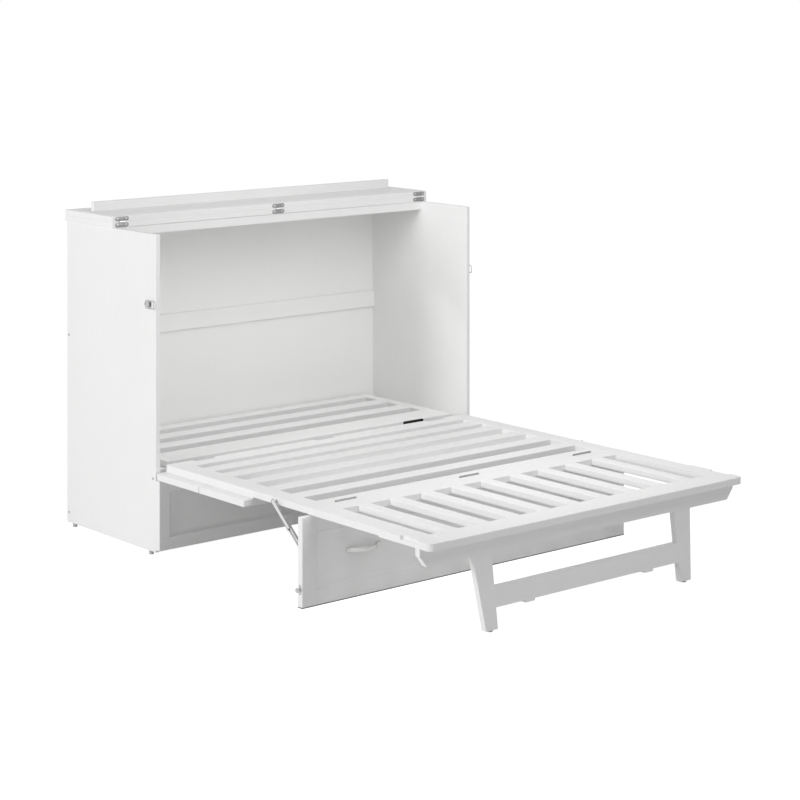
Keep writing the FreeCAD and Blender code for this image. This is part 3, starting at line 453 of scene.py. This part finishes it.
# Latches: pressed steel toggle latches on the outside of both sides, one near each front edge.
# A tapered lever turns between the ears of a screwed base plate and carries a loop of bent wire.
BACK = Vector((0, 1, 0))
EDGE_ON = (0, math.radians(90), 0)
LOOP_WIRE = 0.0015
LOOP_CORNER = 0.004
LOOP_STEPS = 5
LOOP_ROUNDNESS = 3
LEVER_LONG = 0.024
LEVER_TAIL_SHARE = 0.55
LEVER_LIFT = 0.0011
LEVER_EASE = 0.0014
LEVER_STEPS = 3
PLATE_LONG = 0.038
PLATE_TALL = 0.019
PLATE_THICK = 0.002
PLATE_TAIL_SHARE = 0.7
PLATE_CORNER = 0.005
PLATE_STEPS = 5
EAR_START = 0.002
EAR_LONG = 0.012
EAR_SPAN = (0.0070, 0.0094)
EAR_CORNER = 0.003
EAR_STEPS = 4
LATCH_HEAD = 0.0022
LATCH_RISE = 0.0007
LATCH_SCREW_INSET = 0.0055


def mirrored(piece, name):
    select_only(piece)
    bpy.ops.object.duplicate()
    other = bpy.context.object
    other.name = name
    other.scale.x = -1
    settle_place()
    outward(other)
    return other


def eased(piece, width, steps=2):
    select_only(piece)
    ease = piece.modifiers.new("ease", "BEVEL")
    ease.width = width
    ease.segments = steps
    ease.limit_method = "ANGLE"
    bpy.ops.object.modifier_apply(modifier=ease.name)
    return piece


base_low, base_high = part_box("latch_bases")
latch_level = (base_low.z + base_high.z) / 2
plate_face = -side_high.x - PLATE_THICK
plate = block("plate", (plate_face, base_low.y, latch_level - PLATE_TALL / 2),
              (-side_high.x, base_low.y + PLATE_LONG, latch_level + PLATE_TALL / 2))
pick(plate, "FACE", facing(BACK))
tail = (-side_high.x, base_low.y + PLATE_LONG, latch_level)
bpy.ops.transform.resize(value=(1, 1, PLATE_TAIL_SHARE), center_override=tail)
leave_edit()
rounded(plate, lambda edge: along(0)(edge) and edge.verts[0].co.y > base_low.y + EAR_LONG,
        PLATE_CORNER, PLATE_STEPS)
base_parts = [plate]
for way in (-1, 1):
    near, far = sorted(way * reach for reach in EAR_SPAN)
    ear = block("ear", (base_low.x, base_low.y + EAR_START, latch_level + near),
                (-side_high.x, base_low.y + EAR_START + EAR_LONG, latch_level + far))
    rounded(ear, lambda edge: along(2)(edge) and edge.verts[0].co.x < plate_face, EAR_CORNER, EAR_STEPS)
    base_parts.append(ear)
left_base = joined("latch_plates", base_parts)
latch_plates = joined("latch_plates", [left_base, mirrored(left_base, "right_plate")])
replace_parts(finished(latch_plates, pin_steel, "cabinet"), "latch_bases")
lever_low, lever_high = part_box("left_latch_lever")
lever_high = Vector((lever_high.x, lever_low.y + LEVER_LONG, lever_high.z))
lever = block("left_latch_handle", lever_low, lever_high)
pick(lever, "FACE", facing(BACK))
tail = Vector(((lever_low.x + lever_high.x) / 2, lever_high.y, (lever_low.z + lever_high.z) / 2))
bpy.ops.transform.resize(value=(1, 1, LEVER_TAIL_SHARE), center_override=tail)
bpy.ops.transform.translate(value=LEFT * LEVER_LIFT)
leave_edit()
eased(lever, LEVER_EASE, LEVER_STEPS)
loop_low, loop_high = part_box("left_latch_loop")
bpy.ops.object.select_all(action="DESELECT")
bpy.ops.mesh.primitive_plane_add(size=1, location=(loop_low + loop_high) / 2, rotation=EDGE_ON)
loop = bpy.context.object
loop.name = "left_latch_wire"
loop.scale = (loop_high.z - loop_low.z - 2 * LOOP_WIRE, loop_high.y - loop_low.y - 2 * LOOP_WIRE, 1)
settle_place()
bpy.ops.object.mode_set(mode="EDIT")
bpy.ops.mesh.select_all(action="SELECT")
bpy.ops.mesh.bevel(offset=LOOP_CORNER, segments=LOOP_STEPS, affect="VERTICES")
bpy.ops.mesh.select_all(action="SELECT")
bpy.ops.mesh.delete(type="ONLY_FACE")
leave_edit()
bpy.ops.object.convert(target="CURVE")
loop.data.bevel_depth = LOOP_WIRE
loop.data.bevel_resolution = LOOP_ROUNDNESS
bpy.ops.object.convert(target="MESH")
outward(loop)
screw_depth = base_low.y + PLATE_LONG - LATCH_SCREW_INSET
for side, way, arm, ring in (("left", LEFT, lever, loop),
                             ("right", RIGHT, mirrored(lever, "right_latch_handle"),
                              mirrored(loop, "right_latch_wire"))):
    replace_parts(finished(arm, pin_steel, f"{side}_latch_lever_body"), f"{side}_latch_lever")
    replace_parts(finished(ring, pin_steel, f"{side}_latch_loop_body"), f"{side}_latch_loop")
    spot = way * (side_high.x + PLATE_THICK) + Vector((0, screw_depth, latch_level))
    screwed(f"{side}_latch_screw", LATCH_HEAD, LATCH_RISE, [(spot, way)], "cabinet")

# Lid board and the batten behind it, the same painted timber as the top.
# The lid folds back flat and the batten keeps what lies on it from sliding off.
dress(top_paint, "lid_board", "lid_batten")

# Lid hinges: three small steel hinges on the front edges of the fixed top and the lid.
# Each leaf is a pill-shaped plate with a raised face, two screws and a short curled knuckle, whose
# near-white is a painted highlight on the leaves' own steel.
HINGE_GREY = (0.30, 0.30, 0.305)
HINGE_ROUGH = 0.42
# Painted highlight: the knuckles' steel is made near-white to show the glint on the barrels.
KNUCKLE_HIGHLIGHT = (0.86, 0.86, 0.86)
KNUCKLE_ROUGH = 0.26
LEAF_LONG = 0.054
LEAF_THICK = 0.0016
LEAF_RIM = 0.0008
LEAF_LIP = 0.0004
LEAF_CLEAR = 0.0036
LEAF_STEPS = 6
PILL_SHARE = 0.48
BARREL = 0.0032
BARREL_EASE = 0.0004
BARREL_GAP = 0.0005
KNUCKLE_LONG = 0.022
LID_HEAD = 0.0034
LID_RISE = 0.0006
LID_SCREW_SPREAD = 0.0175
# This dark steel also serves as painted shade on the stays' rolled rims.
hinge_steel_and_rim_shade = plated_metal("hinge_steel_and_rim_shade", HINGE_GREY, HINGE_ROUGH)
knuckle_highlight_steel = plated_metal("knuckle_highlight_steel", KNUCKLE_HIGHLIGHT, KNUCKLE_ROUGH)
lower_low, lower_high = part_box("lid_hinge_fixed_leaves")
upper_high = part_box("lid_hinge_moving_leaves")[1]
lid_edge = lower_high.y
lid_line = (lower_low.y + BARREL, lower_high.z - BARREL)
lid_spots = (lower_low.x + LEAF_LONG / 2, 0, lower_high.x - LEAF_LONG / 2)


def twin(piece, shift):
    select_only(piece)
    bpy.ops.object.duplicate()
    bpy.context.object.location = shift
    settle_place()
    return bpy.context.object


def pill_leaf(name, low, high, barrels):
    plate = block(name, (-LEAF_LONG / 2, lid_edge - LEAF_THICK + LEAF_LIP, low),
                  (LEAF_LONG / 2, lid_edge, high))
    rounded(plate, along(1), PILL_SHARE * (high - low), LEAF_STEPS)
    pick(plate, "FACE", facing(FRONT))
    bpy.ops.mesh.inset(thickness=LEAF_RIM, depth=LEAF_LIP)
    leave_edit()
    plate.data.materials.append(hinge_steel_and_rim_shade)
    pieces = [plate]
    near = high if high < lid_line[1] else low
    for start, end in barrels:
        barrel = rod("barrel", BARREL, (start, *lid_line), (end, *lid_line))
        curl = block("curl", (start, lid_edge - LEAF_THICK, min(near, lid_line[1])),
                     (end, lid_edge, max(near, lid_line[1])))
        for part in (barrel, curl):
            part.data.materials.append(knuckle_highlight_steel)
            pieces.append(eased(part, BARREL_EASE))
    leaf = joined(name, pieces)
    leaves = [twin(leaf, (spot, 0, 0)) for spot in lid_spots]
    bpy.data.objects.remove(leaf)
    return joined(name, leaves)


sixth = KNUCKLE_LONG / 6
for node, body, span, barrels in (
        ("lid_hinge_fixed_leaves", "cabinet", (lower_low.z, lid_line[1] - LEAF_CLEAR),
         ((-3 * sixth, -sixth - BARREL_GAP), (sixth + BARREL_GAP, 3 * sixth))),
        ("lid_hinge_moving_leaves", "lid", (lid_line[1] + LEAF_CLEAR, upper_high.z), ((-sixth, sixth),))):
    leaves = pill_leaf(node.replace("leaves", "plates"), *span, barrels)
    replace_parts(finished(leaves, hinge_steel_and_rim_shade, body), node)
    screwed(node.replace("leaves", "screws"), LID_HEAD, LID_RISE,
            [((spot + way * LID_SCREW_SPREAD, lid_edge - LEAF_THICK, sum(span) / 2), FRONT)
             for spot in lid_spots for way in (-1, 1)], body)

# Bed hinges: three heavy steel butt hinges between the cabinet's front bearer and the bed.
# The leaves are flat stamped plates, and turned pins hold these and the lid's hinges together.
BED_PIN = 0.0025
LID_PIN = 0.0016
PIN_OVER = 0.0008
PIN_EASE_SHARE = 1 / 3
BED_HINGE_LONG = 0.076
BED_SCREW_SPREAD = BED_HINGE_LONG / 3
BED_HEAD = 0.0042
BED_RISE = 0.0009
BED_SCREW_DROP = 0.0145
BED_LEAF_SETBACK = 0.0003
dress(hinge_steel_and_rim_shade, "bed_hinge_fixed_leaves", "bed_hinge_moving_leaves")
pins_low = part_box("cabinet_hinge_pins")[0]
bed_low, bed_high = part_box("bed_hinge_fixed_leaves")
bed_line = (pins_low.y + BED_PIN, pins_low.z + BED_PIN)
bed_spots = (bed_low.x + BED_HINGE_LONG / 2, 0, bed_high.x - BED_HINGE_LONG / 2)
pins = []
for spots, reach, line, radius in ((lid_spots, KNUCKLE_LONG / 2 + PIN_OVER, lid_line, LID_PIN),
                                   (bed_spots, BED_HINGE_LONG / 2, bed_line, BED_PIN)):
    pins += [eased(rod("pin", radius, (spot - reach, *line), (spot + reach, *line)), PIN_EASE_SHARE * radius)
             for spot in spots]
cabinet_pins = finished(joined("cabinet_pins", pins), pin_steel, "cabinet")
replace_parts(cabinet_pins, "cabinet_hinge_pins")
screwed("bed_hinge_screws", BED_HEAD, BED_RISE,
        [((spot + way * BED_SCREW_SPREAD, bed_line[0] + BED_LEAF_SETBACK, bed_line[1] - BED_SCREW_DROP),
          FRONT) for spot in bed_spots for way in (-1, 1)], "cabinet")

# Middle section: side rails, end rails and slats of painted timber that swing up into the cabinet.
# The slats are fixed across between the side rails, whose grain runs along the bed.
ENDWAYS = "Y"
rail_paint = painted_wood("rail_paint", ENDWAYS, SLAT_WHITE)
dress(rail_paint, "middle_side_rails", "facade_spacers")
dress(slat_paint, "middle_rear_rail", "middle_front_rail", "middle_slats")

# Facade: two framed panels under the middle section, the cabinet's doors when it is shut.
# Each has a frame round a recessed infill, like the lower front panel.
dress(front_paint, "facade_frames", "facade_infills")
DOWN = Vector((0, 0, -1))
FACADE_FRAME = 0.043
FACADE_JOINT = (0.153, 0.156)
facade_low, facade_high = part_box("facade_frames")
tier_low, tier_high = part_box("facade_infills")
for tier, start, end in (("front", facade_low.y, FACADE_JOINT[0]),
                         ("rear", FACADE_JOINT[1], facade_high.y)):
    coved_bead(f"facade_{tier}_bead", (tier_low.x, start + FACADE_FRAME, facade_low.z + BEAD_SUNK),
               (tier_high.x, end - FACADE_FRAME, tier_low.z), DOWN, "middle_section")

# Fold hinges: three heavy hinges let into the joint of the middle and the foot section.
# Their leaves stand in shallow recesses in the boards' edges, with the knuckle level with the top.
dress(hinge_steel_and_rim_shade, "fold_hinge_middle_leaves", "fold_hinge_foot_leaves")
dress(pin_steel, "middle_hinge_pins")

# Foot section: rails and slats like the middle section's, and a foot rail under them.
# The foot rail carries the leg frame's hinges.
dress(rail_paint, "foot_side_rails")
dress(slat_paint, "foot_rear_rail", "foot_front_rail", "foot_slats", "foot_rail")

# Leg frame: two leaning legs with a cross rail between them.
# Painted timber with the grain down the legs.
leg_paint = painted_wood("leg_paint", UPRIGHT, SLAT_WHITE)
dress(leg_paint, "legs")
dress(slat_paint, "leg_cross_rail", "leg_rest_pads")
dress(glide_plastic, "leg_glides")

# Leg hinges: two small steel hinges behind the foot rail, one over each leg.
# One leaf is screwed to the rail, the other to the back of the leaning leg.
LEG_HINGE_LONG = 0.040
LEG_SCREW_SPREAD = LEG_HINGE_LONG / 4
LEG_SPREAD = 0.030
LEG_TALL = 0.221
LEG_LEAN = LEG_SPREAD / LEG_TALL
LEG_HEAD = 0.0032
LEG_RISE = 0.0006
LEG_SCREW_INSET = 0.010
dress(hinge_steel_and_rim_shade, "leg_hinge_rail_leaves", "leg_hinge_leg_leaves")
dress(pin_steel, "leg_hinge_pins")
rail_low, rail_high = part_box("leg_hinge_rail_leaves")
leaf_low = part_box("leg_hinge_leg_leaves")[0]
rail_face = rail_low.y + LEAF_THICK
leg_line = rail_low.z + BARREL
leg_spots = (rail_low.x + LEG_HINGE_LONG / 2, rail_high.x - LEG_HINGE_LONG / 2)
screwed("leg_hinge_rail_screws", LEG_HEAD, LEG_RISE,
        [((spot + way * LEG_SCREW_SPREAD, rail_face, rail_high.z - LEG_SCREW_INSET), BACK)
         for spot in leg_spots for way in (-1, 1)], "foot_section")
low_screw = leaf_low.z + LEG_SCREW_INSET
screwed("leg_hinge_leg_screws", LEG_HEAD, LEG_RISE,
        [((spot + way * LEG_SCREW_SPREAD, rail_face - (leg_line - low_screw) * LEG_LEAN, low_screw),
          (0, 1, -LEG_LEAN)) for spot in leg_spots for way in (-1, 1)], "leg_frame")

# Support panel: the framed panel that stands under the joint of middle and foot.
# Frame and infill are the same make as the facade.
dress(front_paint, "support_frame", "support_top_rail", "support_infill")
support_low, support_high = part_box("support_frame")
window_low, window_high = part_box("support_infill")
coved_bead("support_bead", (window_low.x, support_low.y + BEAD_SUNK, window_low.z),
           (window_high.x, window_low.y, window_high.z), FRONT, "support_panel")

# Sole: a strip of dark felt glued under the support panel, so that it stands quietly on the floor; its dark
# grey is painted shade, the shadow line along the panel's foot.
# It wraps the lower edge by a few millimetres and is a hair proud of the boards.
SOLE_TALL = 0.003
SOLE_PROUD = 0.0003
# Dark grey painted shade: the contact shadow along the panel's lower edge.
SOLE_SHADE_GREY = (0.10, 0.10, 0.10)
FELT_ROUGH = 0.9
FELT_GRAIN = 1400.0
FELT_RELIEF = 0.6
shade_felt = moulded("sole_felt", SOLE_SHADE_GREY, FELT_ROUGH, FELT_GRAIN, FELT_RELIEF)
sole = block("support_sole", (support_low.x - SOLE_PROUD, support_low.y - SOLE_PROUD, support_low.z),
             (support_high.x + SOLE_PROUD, support_high.y + SOLE_PROUD, support_low.z + SOLE_TALL))
finished(eased(sole, SOLE_PROUD), shade_felt, "support_panel")

# Handles: two bow handles of satin nickel on the support panel, held by screws from behind.
# Each is a flat strap bent in one sweep, with its ends turned out flat on the infill.
NICKEL = (0.58, 0.575, 0.57)
NICKEL_ROUGH = 0.44
HANDLE_SPREAD = 0.46
HANDLE_REACH = 0.062
HANDLE_RISE = 0.028
HANDLE_FLAT = 0.008
STRAP_TALL = 0.014
STRAP_THICK = 0.0045
STRAP_EASE = 0.0014
STRAP_STEPS = 3
FOOT_BEND = 0.018
BOW_STEPS = 28
FOOT_STEPS = 8
handle_nickel = plated_metal("handle_nickel", NICKEL, NICKEL_ROUGH)
handle_low, handle_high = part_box("support_handles")
handle_level = (handle_low.z + handle_high.z) / 2
foot_line = window_low.y - STRAP_THICK / 2
bend = 2 * math.atan(HANDLE_RISE / HANDLE_REACH)
bow_radius = HANDLE_REACH / math.sin(bend) - FOOT_BEND
bpy.ops.object.select_all(action="DESELECT")
bpy.ops.mesh.primitive_plane_add(size=1, location=(-HANDLE_REACH - HANDLE_FLAT, foot_line, handle_level),
                                 rotation=EDGE_ON)
strap = bpy.context.object
strap.scale = (STRAP_TALL, STRAP_THICK, 1)
settle_place()
bpy.ops.object.mode_set(mode="EDIT")
bpy.ops.mesh.select_all(action="SELECT")
bpy.ops.mesh.extrude_region_move(TRANSFORM_OT_translate={"value": RIGHT * HANDLE_FLAT})
for centre, turn, steps in (((-HANDLE_REACH, foot_line - FOOT_BEND), bend, FOOT_STEPS),
                            ((0, foot_line - HANDLE_RISE + bow_radius), -2 * bend, BOW_STEPS),
                            ((HANDLE_REACH, foot_line - FOOT_BEND), bend, FOOT_STEPS)):
    bpy.ops.mesh.spin(steps=steps, angle=turn, center=(*centre, handle_level), axis=(0, 0, 1))
bpy.ops.mesh.extrude_region_move(TRANSFORM_OT_translate={"value": RIGHT * HANDLE_FLAT})
leave_edit()
outward(strap)
eased(strap, STRAP_EASE, STRAP_STEPS)
straps = [twin(strap, (way * HANDLE_SPREAD, 0, 0)) for way in (-1, 1)]
bpy.data.objects.remove(strap)
handles = finished(joined("bow_handles", straps), handle_nickel, "support_panel")
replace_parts(handles, "support_handles")

# Latch pegs: turned steel pegs on the support panel's ends, for the latches' loops to catch.
# Each stands on a thin upright striking plate that is let on to the board's end.
STRIKE_THICK = 0.0012
STRIKE_WIDE = 0.011
STRIKE_TALL = 0.032
STRIKE_STEPS = 5
dress(pin_steel, "latch_pegs")
peg_low, peg_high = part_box("latch_pegs")
peg_depth, peg_level = (peg_low.y + peg_high.y) / 2, (peg_low.z + peg_high.z) / 2
strike = block("strike",
               (support_low.x - STRIKE_THICK, peg_depth - STRIKE_WIDE / 2, peg_level - STRIKE_TALL / 2),
               (support_low.x, peg_depth + STRIKE_WIDE / 2, peg_level + STRIKE_TALL / 2))
rounded(strike, along(0), PILL_SHARE * STRIKE_WIDE, STRIKE_STEPS)
strikes = joined("striking_plates", [strike, mirrored(strike, "right_strike")])
finished(strikes, pin_steel, "support_panel")

# Support hinges: three light steel hinges between the middle section and the support panel.
# One leaf lies under the middle's front rail and the other on the back of the panel, with flush screws.
SUPPORT_HINGE_LONG = 0.060
SUPPORT_SCREW_SPREAD = SUPPORT_HINGE_LONG / 4
SUPPORT_HEAD = 0.0036
SUPPORT_RISE = 0.0001
SUPPORT_SCREW_INSET = 0.011
dress(hinge_steel_and_rim_shade, "support_hinge_middle_leaves", "support_hinge_panel_leaves")
under_low, under_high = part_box("support_hinge_middle_leaves")
upright_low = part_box("support_hinge_panel_leaves")[0]
hinge_spots = (under_low.x + SUPPORT_HINGE_LONG / 2, 0, under_high.x - SUPPORT_HINGE_LONG / 2)
support_across = [spot + way * SUPPORT_SCREW_SPREAD for spot in hinge_spots for way in (-1, 1)]
screwed("support_hinge_rail_screws", SUPPORT_HEAD, SUPPORT_RISE,
        [((across, under_high.y - SUPPORT_SCREW_INSET, under_high.z - LEAF_THICK), DOWN)
         for across in support_across], "middle_section")
screwed("support_hinge_panel_screws", SUPPORT_HEAD, SUPPORT_RISE,
        [((across, support_high.y + LEAF_THICK, upright_low.z + SUPPORT_SCREW_INSET), BACK)
         for across in support_across], "support_panel")

# Stays: a telescopic aluminium stay on each side keeps the support panel upright.
# A grooved bar swings on the panel's bracket, and a flat slide with rolled edges runs along it; the rolled
# edges take the dark hinge steel as painted shade.
ALUMINIUM = (0.70, 0.70, 0.71)
ALUMINIUM_ROUGH = 0.34
STAY_LENGTH = 0.1962
SLIDE_LONG = 0.110
SLIDE_END = 0.007
SLIDE_TALL = 0.016
SLIDE_SPAN = (0.6822, 0.6838)
TONGUE_SPAN = (0.6775, 0.6823)
TONGUE_TALL = 0.008
SLIDE_RIM = 0.0022
SLIDE_SUNK = 0.0007
SLIDE_EASE = SLIDE_SUNK / 3
SLIDE_CORNER = SLIDE_TALL / 3
SLIDE_STEPS = 5
STUD = 0.004
STUD_START = 0.6704
BRACKET_HEAD = 0.0032
BRACKET_RISE = 0.0007
BRACKET_SCREW = (0.0082, 0.006)
BRACKET_PLATE = 0.0016
BRACKET_WIDE = 0.030
stay_metal = plated_metal("stay_aluminium", ALUMINIUM, ALUMINIUM_ROUGH)
dress(stay_metal, "left_stay_channel", "right_stay_channel")
dress(pin_steel, "stay_brackets")
joints = {joint["name"]: joint for joint in frame["joints"]}
stay_pivot = Vector(joints["left_stay_swing"]["pos_m"])
slide_way = joints["left_stay_slide"]["axis"]
stay_slope = math.atan2(-slide_way[2], -slide_way[1])
cover = block("left_stay_bar", (-SLIDE_SPAN[1], STAY_LENGTH - SLIDE_LONG, -SLIDE_TALL / 2),
              (-SLIDE_SPAN[0], STAY_LENGTH + SLIDE_END, SLIDE_TALL / 2))
rounded(cover, lambda edge: along(0)(edge) and edge.verts[0].co.y > STAY_LENGTH, SLIDE_CORNER, SLIDE_STEPS)
cover.data.materials.append(stay_metal)
# Painted shade: the slide's rolled rims get the dark hinge steel, the darker edges of the same aluminium.
cover.data.materials.append(hinge_steel_and_rim_shade)
pick(cover, "FACE", lambda face: True)
cover.active_material_index = 1
bpy.ops.object.material_slot_assign()
leave_edit()
pick(cover, "FACE", facing(LEFT))
bpy.ops.mesh.inset(thickness=SLIDE_RIM)
bpy.ops.transform.translate(value=RIGHT * SLIDE_SUNK)
cover.active_material_index = 0
bpy.ops.object.material_slot_assign()
leave_edit()
eased(cover, SLIDE_EASE)
tongue = block("tongue", (-TONGUE_SPAN[1], STAY_LENGTH - SLIDE_LONG, -TONGUE_TALL / 2),
               (-TONGUE_SPAN[0], STAY_LENGTH, TONGUE_TALL / 2))
stud = rod("stud", STUD, (-TONGUE_SPAN[1], STAY_LENGTH, 0), (-STUD_START, STAY_LENGTH, 0))
for inner in (tongue, stud):
    inner.data.materials.append(stay_metal)
    eased(inner, SLIDE_SUNK)
stay = joined("left_stay_bar", [cover, tongue, stud])
stay.rotation_euler = (stay_slope, 0, 0)
stay.location = (0, stay_pivot.y, stay_pivot.z)
select_only(stay)
settle_place()
for side, bar in (("left", stay), ("right", mirrored(stay, "right_stay_bar"))):
    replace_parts(finished(bar, stay_metal, f"{side}_stay_slide_body"), f"{side}_stay_slide")
bracket_low, bracket_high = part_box("stay_brackets")
screwed("stay_bracket_screws", BRACKET_HEAD, BRACKET_RISE,
        [((way * (bracket_high.x - BRACKET_WIDE + BRACKET_SCREW[0]), bracket_low.y + BRACKET_PLATE,
           stay_pivot.z + rise * BRACKET_SCREW[1]), BACK) for way in (-1, 1) for rise in (-1, 1)],
        "support_panel")

# Floor and light: a white sweep, a soft sky all round, a lamp on the left and five weak ones.
# The floor shows white to the camera and keeps a faint shadow of the object.
FLOOR_SIZE = 60.0
FLOOR_ALBEDO = 0.80
FLOOR_GLOW = 0.95
FLOOR_SHADOW = 0.24
SKY_LIGHT = 0.34
LAMPS = {
    "left_lamp": ((-7.1, 0.0, 2.2), (-0.7, 0.4, 0.6), (1.8, 1.8), 235.0),
    "high_lamp": ((0.0, -0.9, 2.5), (0.0, 0.4, 0.3), (1.6, 1.6), 13.8),
    "inner_lamp": ((0.0, -0.45, 1.45), (0.0, 0.75, 0.30), (1.4, 1.4), 1.6),
    "low_lamp": ((0.0, -0.75, 1.05), (0.0, 0.5, 0.30), (1.4, 0.4), 1.95),
    "head_lamp": ((0.0, 0.47, 0.72), (0.0, 0.78, 0.32), (1.2, 0.2), 0.62),
    "foot_lamp": ((0.0, -2.6, 2.2), (0.0, -0.6, 0.3), (1.5, 1.0), 9.2),
}


def seen_directly(tree):
    rays = tree.nodes.new("ShaderNodeLightPath")
    shown = rays.outputs["Is Camera Ray"]
    for ray in ("Is Glossy Ray", "Is Transmission Ray"):
        either = tree.nodes.new("ShaderNodeMath")
        either.operation = "MAXIMUM"
        wire(tree, shown, either.inputs[0])
        wire(tree, rays.outputs[ray], either.inputs[1])
        shown = either.outputs["Value"]
    return shown


def shown_or_lit(tree, output_kind, lit, shown):
    output = tree.nodes.new(output_kind)
    chooser = tree.nodes.new("ShaderNodeMixShader")
    wire(tree, seen_directly(tree), chooser.inputs["Fac"])
    wire(tree, lit, chooser.inputs[1])
    wire(tree, shown, chooser.inputs[2])
    wire(tree, chooser.outputs["Shader"], output.inputs["Surface"])


bpy.ops.object.select_all(action="DESELECT")
bpy.ops.mesh.primitive_plane_add(size=FLOOR_SIZE, location=(0, 0, 0))
floor = bpy.context.object
floor.name = "floor"
floor_white = bpy.data.materials.new("floor_white")
floor_white.use_nodes = True
tree = floor_white.node_tree
tree.nodes.clear()
plain = tree.nodes.new("ShaderNodeBsdfDiffuse")
plain.inputs["Color"].default_value = (FLOOR_ALBEDO, FLOOR_ALBEDO, FLOOR_ALBEDO, 1)
veil = tree.nodes.new("ShaderNodeBsdfDiffuse")
veil.inputs["Color"].default_value = (FLOOR_SHADOW, FLOOR_SHADOW, FLOOR_SHADOW, 1)
glow = tree.nodes.new("ShaderNodeEmission")
glow.inputs["Strength"].default_value = FLOOR_GLOW
bright = tree.nodes.new("ShaderNodeAddShader")
wire(tree, veil.outputs["BSDF"], bright.inputs[0])
wire(tree, glow.outputs["Emission"], bright.inputs[1])
shown_or_lit(tree, "ShaderNodeOutputMaterial", plain.outputs["BSDF"], bright.outputs["Shader"])
floor.data.materials.append(floor_white)

sky = bpy.data.worlds.new("sky")
bpy.context.scene.world = sky
sky.use_nodes = True
tree = sky.node_tree
tree.nodes.clear()
soft = tree.nodes.new("ShaderNodeBackground")
soft.inputs["Color"].default_value = (1, 1, 1, 1)
soft.inputs["Strength"].default_value = SKY_LIGHT
backdrop = tree.nodes.new("ShaderNodeBackground")
backdrop.inputs["Color"].default_value = (1, 1, 1, 1)
shown_or_lit(tree, "ShaderNodeOutputWorld", soft.outputs["Background"], backdrop.outputs["Background"])

for name, (place, aim, size, power) in LAMPS.items():
    lamp = bpy.data.objects.new(name, bpy.data.lights.new(name, "AREA"))
    lamp.data.shape = "RECTANGLE"
    lamp.data.size, lamp.data.size_y = size
    lamp.data.energy = power
    lamp.location = place
    lamp.rotation_euler = (Vector(aim) - Vector(place)).to_track_quat("-Z", "Y").to_euler()
    lamp.visible_camera = False
    bpy.context.scene.collection.objects.link(lamp)

# Camera: level and turned 40 degrees, with the frame shifted down as the photograph's is.
# Upright edges stay upright, so nothing is tilted.
CAMERA_PLACE = (-4.880, -5.837, 1.954)
CAMERA_TURN = math.radians(-40.03)
CAMERA_LEVEL = math.radians(90)
CAMERA_SENSOR = 36.0
CAMERA_LENS = 100.08
CAMERA_DROP = -0.532
camera = bpy.data.objects.new("camera", bpy.data.cameras.new("camera"))
camera.location = CAMERA_PLACE
camera.rotation_euler = (CAMERA_LEVEL, 0, CAMERA_TURN)
camera.data.sensor_width = CAMERA_SENSOR
camera.data.lens = CAMERA_LENS
camera.data.shift_y = CAMERA_DROP
bpy.context.scene.collection.objects.link(camera)
bpy.context.scene.camera = camera
bpy.context.scene.view_settings.view_transform = "Standard"
